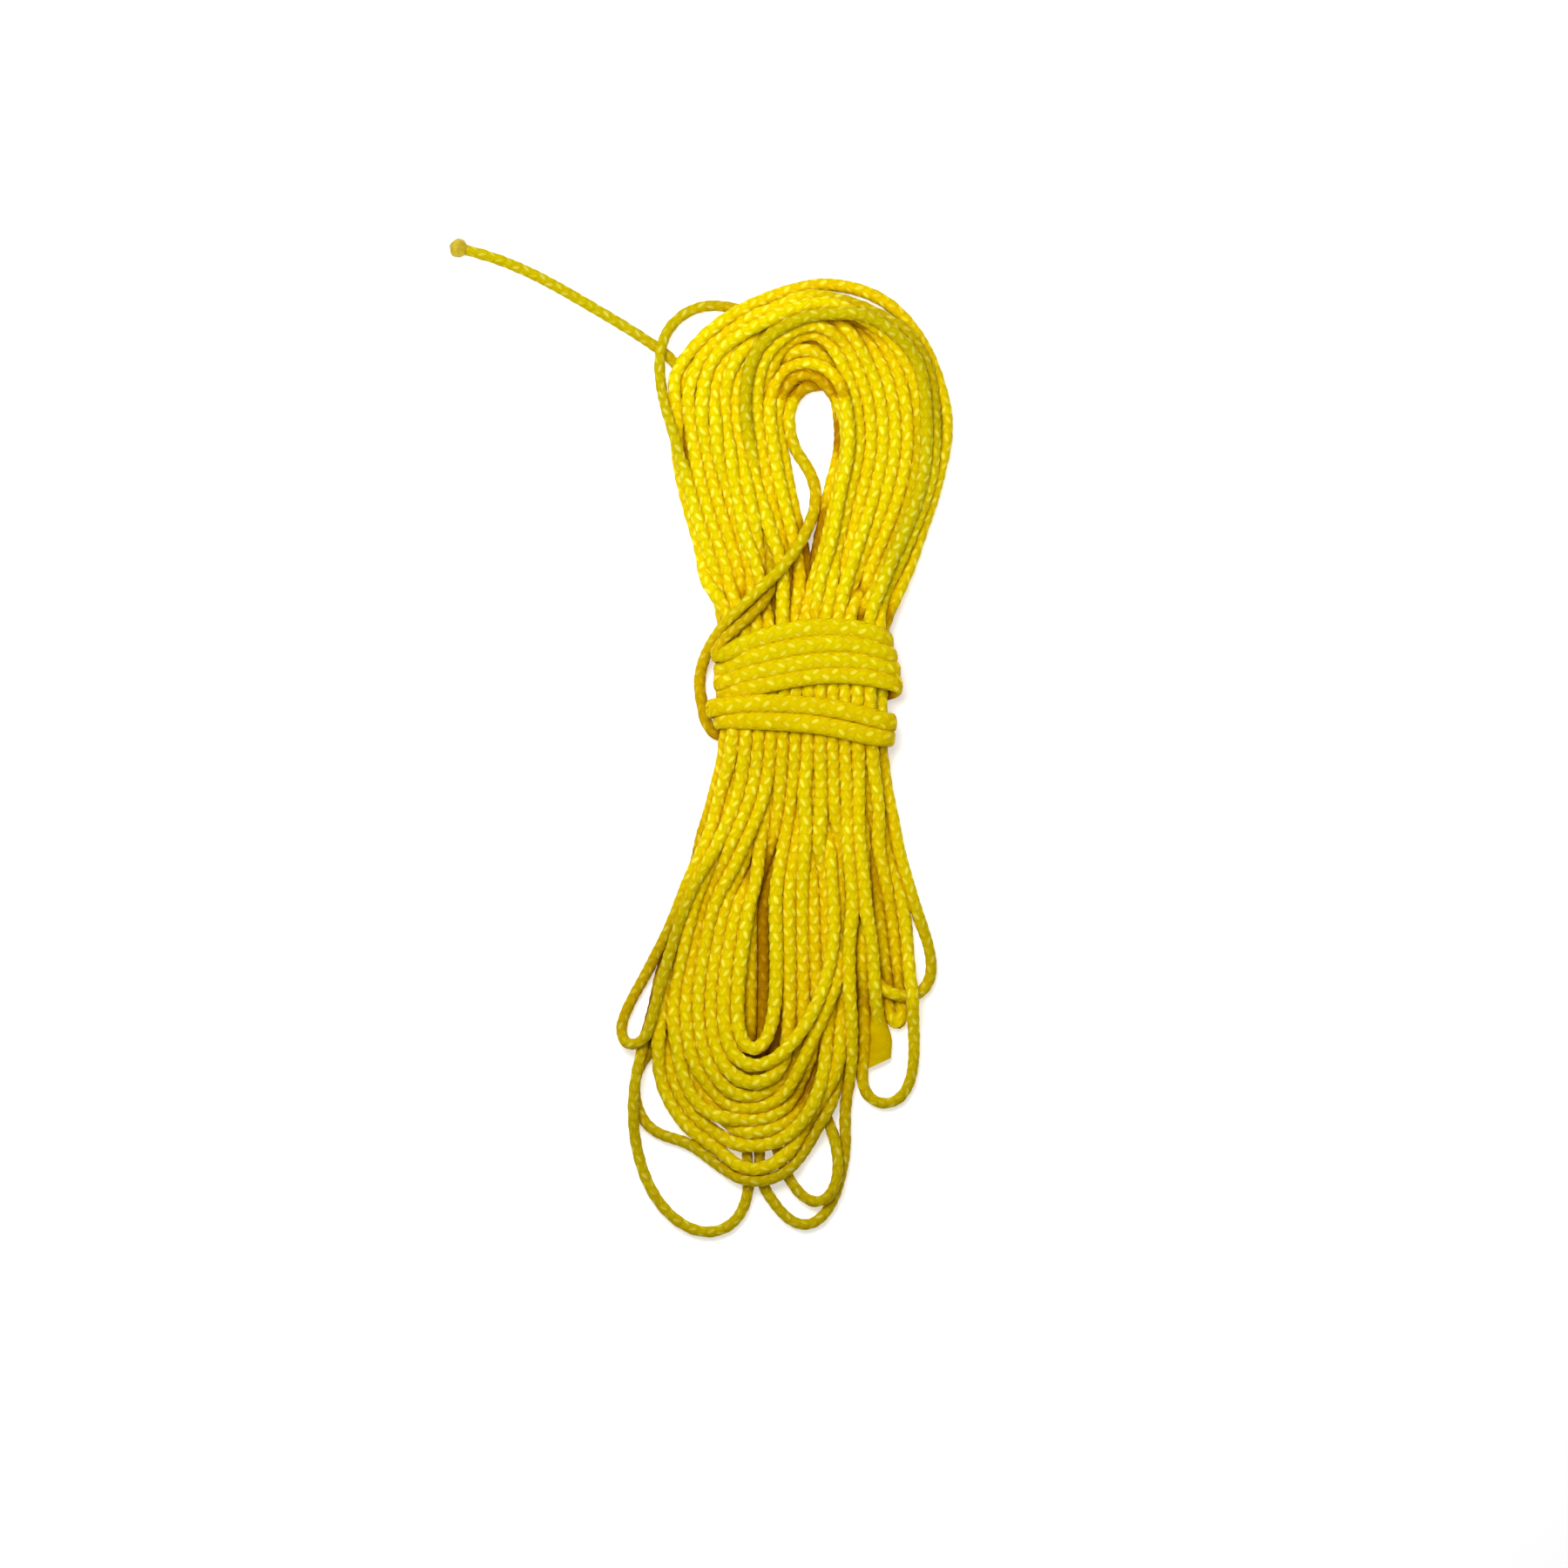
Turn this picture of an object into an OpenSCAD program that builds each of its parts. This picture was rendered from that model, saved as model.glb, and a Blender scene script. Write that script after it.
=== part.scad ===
// Hank of braided yellow line, wound by hand and tied with its own turns.
// One length of line: the solids below are its separate stretches. The hank
// lies flat on z = 0, its long axis along Y, the knot-free sealed end at the
// upper left. All lengths in millimetres.

/* [Line] */
// Diameter of the braided line
line_d = 1.8; // [1.5:0.1:2.0]
// Sides of the tubes that stand for single strands
line_sides = 8; // [6:1:12]

/* [Bundle] */
// Height of the bundle of turns where it lies flat
bundle_h = 5.4; // [4.6:0.1:6.2]
// Width of the bundle where the binding turns squeeze it
waist_w = 23.6; // [23:0.1:24.4]

/* [Binding turns] */
// Binding turns in the upper band, towards the eye
upper_turns = 4; // [3:1:4]
// Binding turns in the lower band
lower_turns = 2; // [1:1:2]
// Pitch of the binding turns along the hank
turn_pitch = 2.15; // [1.9:0.05:2.2]

/* [Ends] */
// Diameter of the melted bead on the sealed end
bead_d = 2.6; // [2.2:0.1:3.0]
// Length of the melted bead
bead_l = 2.4; // [1.6:0.1:3.0]

/* [Hidden] */
$fn = 48;

r = line_d / 2;
waist_x = -0.2;                  // middle of the waist
waist_top = 11.9;                // where the waist meets the upper loops
waist_bottom = -5;               // where it meets the lower loops
upper_band_top = 11.3;
lower_band_top = 0.7;
// from the middle of the waist to the middle of the whole hank's box
origin_shift = [15.3, 4.6, 0];

// Outlines of the bundle, seen from above, as round numbers
left_leg = [[1.8, 11.9], [-12, 11.9], [-13.7, 17], [-14.8, 21.4], [-16.6, 26],
            [-18.2, 32], [-19.2, 38], [-19.6, 44], [-1.6, 44], [-2.2, 40],
            [-2.2, 35], [-1.6, 30], [-0.4, 26], [0.8, 22.4], [1.8, 21.4]];
right_leg = [[1.8, 11.9], [1.8, 21.4], [2.2, 26], [2.8, 31], [4.2, 35],
             [4.6, 39], [4.2, 42.6], [3.6, 44], [20.4, 44], [20.5, 38],
             [19.8, 33], [18.4, 29], [16.4, 24.4], [14.4, 20.4], [12.6, 16],
             [11.4, 11.9]];
crown = [[-19.6, 44], [-18.8, 47.4], [-18, 49.6], [-16, 52.2], [-13, 54.8],
         [-9.4, 57.2], [-5, 59.4], [-1.4, 60.7], [2.6, 61.3], [6.6, 60.8],
         [10, 59.4], [13, 57.6], [15.6, 55], [17.6, 52.2], [19.2, 49],
         [20.2, 46], [20.4, 44], [3.6, 44], [2.9, 45], [1.8, 45.5],
         [0.4, 45.2], [-0.8, 44.6], [-1.6, 44]];
lower_outline = [[-11.8, -5], [-12.4, -9], [-14, -14.6], [-16.2, -21],
                 [-18, -26], [-20, -32], [-21.5, -38], [-22.4, -45],
                 [-22.2, -51], [-21, -56], [-18.5, -60], [-15.5, -63.5],
                 [-12.5, -66.5], [-9.5, -68.8], [-6, -69.4], [-2.5, -68],
                 [0.5, -64.8], [3, -61.2], [5.4, -57], [7.4, -53],
                 [9.4, -50], [12, -47], [14.5, -43.5], [15.6, -39.5],
                 [15.4, -34], [14.8, -28], [13.8, -21], [12.6, -13],
                 [11.7, -8], [11.4, -5]];

// Routes of the single strands that stand clear of the bundle: x, y, z
tail_route = [[-48.9, 65.7, r], [-44.2, 64.4, r], [-38.8, 62.1, r],
              [-33.4, 59.1, r], [-28, 55.8, r], [-22.8, 52.6, r],
              [-17.4, 49.4, r]];
ear_route = [[-9, 57.2, 4.4], [-13, 57.9, 4.2], [-17, 56.8, 3.8],
             [-20, 54, 3.4], [-21.1, 50, 3.2], [-20.9, 46, 3.2],
             [-19.2, 41, 3.4]];
tie_route = [[-2.6, 39.2, 0.9], [-0.4, 36.2, 1.4], [1.4, 33, 2.8],
             [1.7, 29.4, 5], [0.2, 26, 6.6], [-3, 20.4, 6.9],
             [-7, 15.6, 7], [-11.6, 11.4, 7.6], [-15, 6.8, 6],
             [-15.6, 2.8, 4.8], [-13.6, -0.6, 4.6]];
right_side_route = [[14.2, -26, 0.9], [16.2, -30.2, 0.9], [17.8, -34.6, 0.9],
                    [18.2, -38.4, 0.9], [16.8, -41.2, 0.9], [14, -42, 0.9]];
right_lower_route = [[14.4, -38, 2.7], [15.4, -43.4, 2.4], [15.7, -49, 1],
                     [15.1, -54.2, 0.9], [12.8, -57.4, 0.9], [10, -57.4, 0.9],
                     [8.2, -54.8, 0.9], [7.4, -50.6, 0.9]];
left_side_route = [[-19.8, -33, 0.9], [-22.6, -37.8, 0.9], [-25.2, -43, 0.9],
                   [-26.8, -46.6, 0.9], [-25.2, -49, 0.9], [-22.9, -47.4, 0.9],
                   [-21.6, -43, 0.9]];
left_lower_route = [[-21.6, -48.6, 0.9], [-23.6, -53.4, 0.9],
                    [-23.2, -58, 0.9], [-20.4, -61.2, 0.9],
                    [-16.4, -62.4, 0.9]];
bottom_left_route = [[-21.4, -46.6, 2.8], [-24.4, -52, 2.8],
                     [-24.8, -57.6, 2.6], [-24.4, -63, 1.2],
                     [-22.8, -68.4, 0.9], [-19.8, -72.8, 0.9],
                     [-15.8, -75.4, 0.9], [-12, -75.2, 0.9],
                     [-9.4, -72.6, 0.9], [-8.2, -68.6, 0.9]];
bottom_right_route = [[5.6, -55, 0.9], [6, -60, 0.9], [5.4, -65.6, 0.9],
                      [3.8, -70.6, 0.9], [1.2, -74.4, 0.9],
                      [-2, -74.2, 0.9], [-4.8, -71, 0.9], [-6.8, -67.6, 0.9]];
bottom_inner_route = [[2.6, -59.6, 0.9], [3.8, -63, 2.6], [4.2, -67.4, 2.7],
                      [2.8, -71.2, 2.7], [0, -71.4, 2.7],
                      [-2.2, -68.4, 2.7], [-2.6, -66.6, 2.7]];
cut_route = [[11, -46, 0.9], [11.2, -49, 0.9], [11, -51.8, 0.9]];

// Unit vector, and the direction of a route at its point i
function unit(v) = v / norm(v);
function heading(p, i) =
    unit(p[min(i + 1, len(p) - 1)] - p[max(i - 1, 0)]);

// One ring of a tube: a regular polygon square to the route
function ring(p, i, radius, sides) =
    let (t = heading(p, i), s = unit(cross([0, 0, 1], t)), n = cross(t, s))
    [for (k = [0 : sides - 1])
        let (a = 360 * (k + 0.5) / sides, q = radius / cos(180 / sides))
        p[i] + min(q, radius * 1.04) * (cos(a) * s + sin(a) * n)];

// A strand: one closed tube swept along its route
module strand(p, radius = r, sides = line_sides) {
    rings = len(p);
    points = [for (i = [0 : rings - 1]) each ring(p, i, radius, sides)];
    walls = [for (i = [0 : rings - 2]) for (k = [0 : sides - 1])
        let (a = i * sides + k, b = i * sides + (k + 1) % sides)
        each [[a, b, a + sides], [b, b + sides, a + sides]]];
    first = [for (k = [1 : sides - 2]) [0, k + 1, k]];
    last = [for (k = [1 : sides - 2])
        let (m = (rings - 1) * sides) [m, m + k, m + k + 1]];
    polyhedron(points, concat(walls, first, last));
}

// A flat-lying slab of turns
module slab(outline, h = bundle_h) {
    linear_extrude(height = h) polygon(outline);
}

// Cross-section of the squeezed bundle, grown by g all round
module waist_section(g = 0) {
    half = waist_w / 2 - bundle_h / 2;
    translate([-half, 0]) circle(r = bundle_h / 2 + g);
    translate([half, 0]) circle(r = bundle_h / 2 + g);
    translate([-half, -bundle_h / 2 - g])
        square([2 * half, bundle_h + 2 * g]);
}

// A band of binding turns side by side, from y = top downwards
module band(top, turns) {
    difference() {
        translate([waist_x, top, line_d + bundle_h / 2]) rotate([90, 0, 0])
            linear_extrude(height = turns * turn_pitch) waist_section(line_d);
        translate([waist_x, top + 1, line_d + bundle_h / 2]) rotate([90, 0, 0])
            linear_extrude(height = turns * turn_pitch + 2) waist_section(0);
    }
}

module upper_loops_left() { color("gold") slab(left_leg); }
module upper_loops_right() { color("gold") slab(right_leg); }
module upper_loops_crown() { color("yellow") slab(crown); }
module lower_loops() { color("gold") slab(lower_outline); }
module waist_turns() {
    color("goldenrod")
    translate([waist_x, waist_top, line_d + bundle_h / 2]) rotate([90, 0, 0])
        linear_extrude(height = waist_top - waist_bottom) waist_section(0);
}
module upper_binding() { color("khaki") band(upper_band_top, upper_turns); }
module lower_binding() { color("khaki") band(lower_band_top, lower_turns); }
module tie_strand() { color("olive") strand(tie_route); }
module ear_loop() { color("yellow") strand(ear_route); }
module free_tail() { color("yellow") strand(tail_route); }
module sealed_end() {
    // a melted bead behind the cut, square to the tail
    aim = tail_route[1] - tail_route[0];
    color("darkkhaki")
    translate([tail_route[0][0], tail_route[0][1], bead_d / 2])
        rotate([0, 0, atan2(aim[1], aim[0])]) rotate([0, -90, 0])
        rotate_extrude()
            intersection() {
                union() {
                    square([bead_d / 2 - 0.5, bead_l]);
                    translate([0, 0]) square([bead_d / 2, bead_l - 0.5]);
                    translate([bead_d / 2 - 0.5, bead_l - 0.5]) circle(r = 0.5);
                }
                square([bead_d, bead_l]);
            }
}
module cut_end() { color("goldenrod") strand(cut_route); }
module right_side_loop() { color("olive") strand(right_side_route); }
module right_lower_loop() { color("gold") strand(right_lower_route); }
module left_side_loop() { color("yellow") strand(left_side_route); }
module left_lower_loop() { color("olive") strand(left_lower_route); }
module bottom_left_loop() { color("gold") strand(bottom_left_route); }
module bottom_right_loop() { color("olive") strand(bottom_right_route); }
module bottom_inner_loop() { color("goldenrod") strand(bottom_inner_route); }

translate(origin_shift) upper_loops_left();
translate(origin_shift) upper_loops_crown();
translate(origin_shift) upper_loops_right();
translate(origin_shift) waist_turns();
translate(origin_shift) lower_loops();
translate(origin_shift) upper_binding();
translate(origin_shift) lower_binding();
translate(origin_shift) tie_strand();
translate(origin_shift) ear_loop();
translate(origin_shift) free_tail();
translate(origin_shift) sealed_end();
translate(origin_shift) cut_end();
translate(origin_shift) right_side_loop();
translate(origin_shift) right_lower_loop();
translate(origin_shift) left_side_loop();
translate(origin_shift) left_lower_loop();
translate(origin_shift) bottom_left_loop();
translate(origin_shift) bottom_right_loop();
translate(origin_shift) bottom_inner_loop();
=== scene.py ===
"""A hank of braided yellow line, wound by hand and tied with its own turns.

The line is one length: its route is wound strand by strand, relaxed so that
the strands lie on each other and on the table, and then braided out of eight
yarns. Work units are millimetres, measured from the middle of the waist.
"""
import math

import bpy
import numpy as np
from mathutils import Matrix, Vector


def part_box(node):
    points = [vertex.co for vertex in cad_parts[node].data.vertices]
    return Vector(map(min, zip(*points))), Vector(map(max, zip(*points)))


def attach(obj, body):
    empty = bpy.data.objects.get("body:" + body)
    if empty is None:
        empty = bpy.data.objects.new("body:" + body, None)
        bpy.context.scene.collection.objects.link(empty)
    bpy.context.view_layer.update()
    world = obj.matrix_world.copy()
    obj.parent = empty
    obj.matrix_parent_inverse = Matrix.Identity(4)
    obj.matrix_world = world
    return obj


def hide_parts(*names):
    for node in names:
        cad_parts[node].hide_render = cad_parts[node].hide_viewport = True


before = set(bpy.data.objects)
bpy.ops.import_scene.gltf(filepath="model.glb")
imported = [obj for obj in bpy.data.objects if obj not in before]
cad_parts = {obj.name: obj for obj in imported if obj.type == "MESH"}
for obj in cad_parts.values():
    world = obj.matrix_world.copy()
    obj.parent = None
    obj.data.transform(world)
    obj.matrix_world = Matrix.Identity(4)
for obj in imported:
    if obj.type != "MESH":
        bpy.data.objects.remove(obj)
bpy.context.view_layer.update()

D = 1.8          # line diameter, mm
R = D / 2
STEP = 1.2       # solver spacing, mm
NU = 37          # strands side by side through the waist


# ---------------------------------------------------------------- outlines
def tab(pairs):
    p = np.array(sorted(pairs), float)
    return lambda y: np.interp(y, p[:, 0], p[:, 1])


# centre lines of the outermost and innermost strands of the two legs, (y, x)
XLO = tab([(10, -11.1), (17, -12.6), (21.4, -13.7), (26, -15.3), (32, -17.2), (38, -18.3), (44, -18.7)])
XLI = tab([(10, 0.1), (17, 0.7), (21.4, 0.0), (26, -1.2), (30, -2.3), (35, -3.1), (40, -3.8), (44, -4.3)])
XRO = tab([(10, 10.3), (16, 11.6), (20.4, 13.4), (24.4, 15.4), (29, 17.5), (33, 18.8), (38, 19.2), (44, 19.2)])
XRI = tab([(10, 1.6), (17, 2.5), (21.4, 3.1), (26, 3.6), (31, 4.4), (35, 5.8), (39, 6.2), (42.6, 5.6), (44, 5.0)])

# Arcs of the upper loops, left foot to right foot: left strand, right strand, points
ARCS = [
    (0, 35, [(-18.0, 35, 3.4), (-18.7, 38.6, 3.6), (-19.3, 41.2, 3.6), (-20.4, 44, 3.4), (-21.0, 47, 3.2), (-21.1, 50, 3.0), (-20.6, 52.8, 3.0), (-19.1, 55.3, 3.0), (-16.2, 57.2, 2.9),
             (-12.9, 57.7, 2.6), (-10.2, 57.1, 1.6), (-7.4, 56.3, .9), (-3.5, 56.6, .9), (1, 57.3, .9), (5, 57.2, .9), (8.6, 56.2, .9), (11.8, 54.4, .9), (14.6, 51.6, .9), (17, 48, .9), (18.6, 44, .9)]),
    (1, 36, [(-18.6, 44, 2.5), (-18.3, 47, 2.5), (-17.2, 49.8, 2.5), (-15.3, 52.2, 2.7), (-12.8, 54.2, 3), (-10.2, 55.7, 3.1), (-7.4, 57.0, 2.9), (-4.6, 58.4, 2.6), (-1.8, 59.6, 2.2),
             (1.4, 60.6, 1.9), (4.8, 60.5, 1.1), (8, 59.8, .9), (11, 58.5, .9), (13.8, 56.2, .9), (16.2, 53, .9), (17.8, 49.4, 1.2), (18.8, 46, 2), (19.2, 44, 2.4)]),
    (2, 31, [(-17.6, 44, 1.8), (-17.2, 47.5, 2.6), (-15.8, 50.6, 1.6), (-13, 53.4, .9), (-9.6, 55.3, .9), (-5.8, 56.8, 2.2), (-1.6, 58.4, 2.7), (1.6, 58.7, 2.7), (4.4, 57.9, 2.6),
             (7.4, 56.8, 2.4), (10.4, 55.4, 1.8), (12.8, 54.1, 1.6), (14.6, 50.6, .9), (15.6, 47.4, .9), (15.8, 44, .9)]),
    (3, 34, [(-16.8, 44, 2.5), (-16.4, 47.5, 2.5), (-15, 50.5, 2.5), (-12.4, 53.2, 2.5), (-9.2, 55, 2.7), (-6, 56.2, 4), (-3, 57.6, 4.2), (0, 58.9, 4.2), (2.4, 58.6, 4.2), (5, 57.8, 4.2),
             (8, 56.8, 4), (11.2, 55.3, 3.4), (14, 53.6, 2.8), (16.5, 50.7, 2.6), (18, 47.4, 2.6), (18.4, 44, 2.6)]),
    (4, 29, [(-15.9, 44, .9), (-15.5, 47.2, .9), (-14, 50.2, .9), (-11.4, 52.8, .9), (-8, 54.6, .9), (-4.4, 55.9, .9), (-.8, 57, .9), (2.4, 57.4, .9), (5.4, 56.6, .9), (8.2, 55.2, .9),
             (10.6, 53, .9), (12.4, 50, .9), (13.6, 46.8, .9), (13.9, 44, .9)]),
    (5, 32, [(-15, 44, 2.5), (-14.6, 47, 2.5), (-13.4, 50, 2.5), (-11, 52.4, 2.6), (-8, 54.1, 2.9), (-5, 55, 3.4), (-2, 56.4, 3.8), (1, 57.6, 4), (4, 57.5, 3.8), (7, 56.4, 3.2),
             (9.6, 55.2, 2.9), (12, 53.3, 2.7), (14.2, 50.6, 2.6), (15.6, 47.2, 2.5), (16.1, 44, 2.5)]),
    (6, 27, [(-14.1, 44, .9), (-13.7, 47, .9), (-12.4, 49.8, .9), (-10, 52, .9), (-7, 53.6, .9), (-3.8, 54.9, .9), (-.4, 55.8, .9), (2.6, 55.9, .9), (5.2, 55.0, .9), (7.6, 53.2, .9),
             (9.8, 50.4, .9), (11.4, 47, .9), (12.1, 44, .9)]),
    (7, 30, [(-13.3, 44, 2.5), (-12.9, 47, 2.5), (-11.8, 49.8, 2.5), (-9.8, 52, 2.5), (-7.4, 53.6, 2.5), (-4.6, 54.8, 2.6), (-1.6, 55.9, 2.9), (1.6, 56.8, 3), (4.6, 57, 3), (7, 56.2, 2.8),
             (9, 54.6, 2.6), (10.8, 52.2, 2.5), (12.4, 49.4, 2.5), (13.7, 46.6, 2.5), (14.2, 44, 2.5)]),
    (8, 25, [(-12.4, 44, .9), (-12, 46.8, .9), (-10.8, 49.4, .9), (-8.8, 51.4, .9), (-6, 52.9, .9), (-3, 54, .9), (0, 54.4, .9), (2.8, 54.0, .9), (5.2, 52.6, .9), (7.4, 50.2, .9),
             (9.2, 47.2, .9), (10.2, 44, .9)]),
    (9, 28, [(-11.8, 44, 2.5), (-11.4, 47, 2.5), (-10.4, 49.6, 2.5), (-8.8, 51.7, 2.5), (-6.6, 53.4, 2.5), (-4, 54.8, 2.2), (-1, 56, 2), (2, 56.8, 2), (4.6, 56.6, 2.2), (6.8, 55.4, 2.4),
             (8.6, 53.2, 2.5), (10.2, 50.6, 2.5), (11.5, 47.6, 2.5), (12.4, 44, 2.5)]),
    (10, 26, [(-10.4, 44, 2.5), (-9.9, 47.5, 2.5), (-8.8, 50.3, 2.5), (-7.2, 52.5, 2.5), (-5.2, 54, 2.3), (-2.6, 55.1, 2), (.4, 56, 2), (3, 56.1, 2.3), (5.2, 55.3, 2.5), (7, 53.3, 2.5),
              (8.4, 50.8, 2.5), (9.7, 47.6, 2.5), (10.7, 44, 2.5)]),
    (11, 23, [(-10.2, 44, .9), (-9.8, 46.6, .9), (-8.8, 49, .9), (-7, 51, .9), (-4.6, 52.4, .9), (-1.8, 53.2, .9), (.8, 53.1, .9), (3.2, 51.8, .9), (5.4, 49.8, .9), (7.2, 47.2, .9), (8.4, 44, .9)]),
    (12, 33, [(-8.9, 44, 4.1), (-8.5, 47, 4.2), (-7.5, 49.8, 4.4), (-5.8, 52.2, 4.8), (-3.8, 54, 5.4), (-1.6, 55.5, 5.8), (1, 56.4, 5.9), (4, 56.7, 5.8), (7, 56.3, 5.4), (10, 55.2, 5),
              (12.6, 53.5, 4.6), (14.8, 51.2, 4.4), (16.4, 48.6, 4.2), (17.1, 46.2, 4.1), (17.3, 44, 4)]),
    (13, 21, [(-8.3, 44, .9), (-8, 46.4, .9), (-7, 48.8, .9), (-5.4, 50.6, .9), (-3.2, 51.8, .9), (-.8, 52.0, 1.4), (1.4, 51.4, 1.4), (3.4, 49.8, 1.2), (5.2, 47.4, 1.4), (6.2, 44, 1.4)]),
    (14, 24, [(-7.3, 44, 2.6), (-7, 46.6, 2.6), (-6.2, 49, 2.6), (-4.9, 51.2, 2.6), (-3.2, 53, 2.5), (-1, 54.6, 2.5), (1.4, 55.4, 2.6), (3.3, 55.1, 2.6), (5, 53.4, 2.6), (6.4, 51, 2.6),
              (7.7, 48, 2.5), (8.9, 44, 2.5)]),
    (15, 22, [(-6.3, 44, 2.0), (-6.1, 46.4, 2.2), (-5.3, 48.8, 2.3), (-4.1, 51.2, 2.5), (-2.6, 53.1, 2.6), (-.8, 54.0, 2.7), (1, 54.0, 2.7), (2.8, 53.1, 2.6), (4.4, 51.3, 2.6), (5.7, 48.9, 2.5),
              (6.6, 46, 2.5), (7.0, 44, 2.5)]),
    (16, 20, [(-5.7, 44, 2.6), (-5.2, 46.2, 2.6), (-4.2, 48.1, 2.6), (-2.6, 49.4, 2.6), (-.5, 49.8, 2.7), (1.6, 49.3, 2.6), (3.4, 48, 2.6), (4.8, 46, 2.6), (5.4, 44, 2.6)]),
    (17, 19, [(-4.1, 44, 1.8), (-3.5, 45.7, 1.9), (-2.5, 47.0, 2), (-1.0, 48.0, 2.4), (.8, 48.2, 2.4), (2.6, 47.4, 2.2), (4.2, 45.7, 2), (5.1, 44, 1.8)]),
]
TIE_ARC = [(5.0, 44, .9), (4.1, 45.8, .9), (2.5, 46.9, .9), (.7, 46.7, .9), (-.8, 45.5, .9), (-2.1, 43.8, .9), (-3.0, 41.9, .9)]

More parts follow.
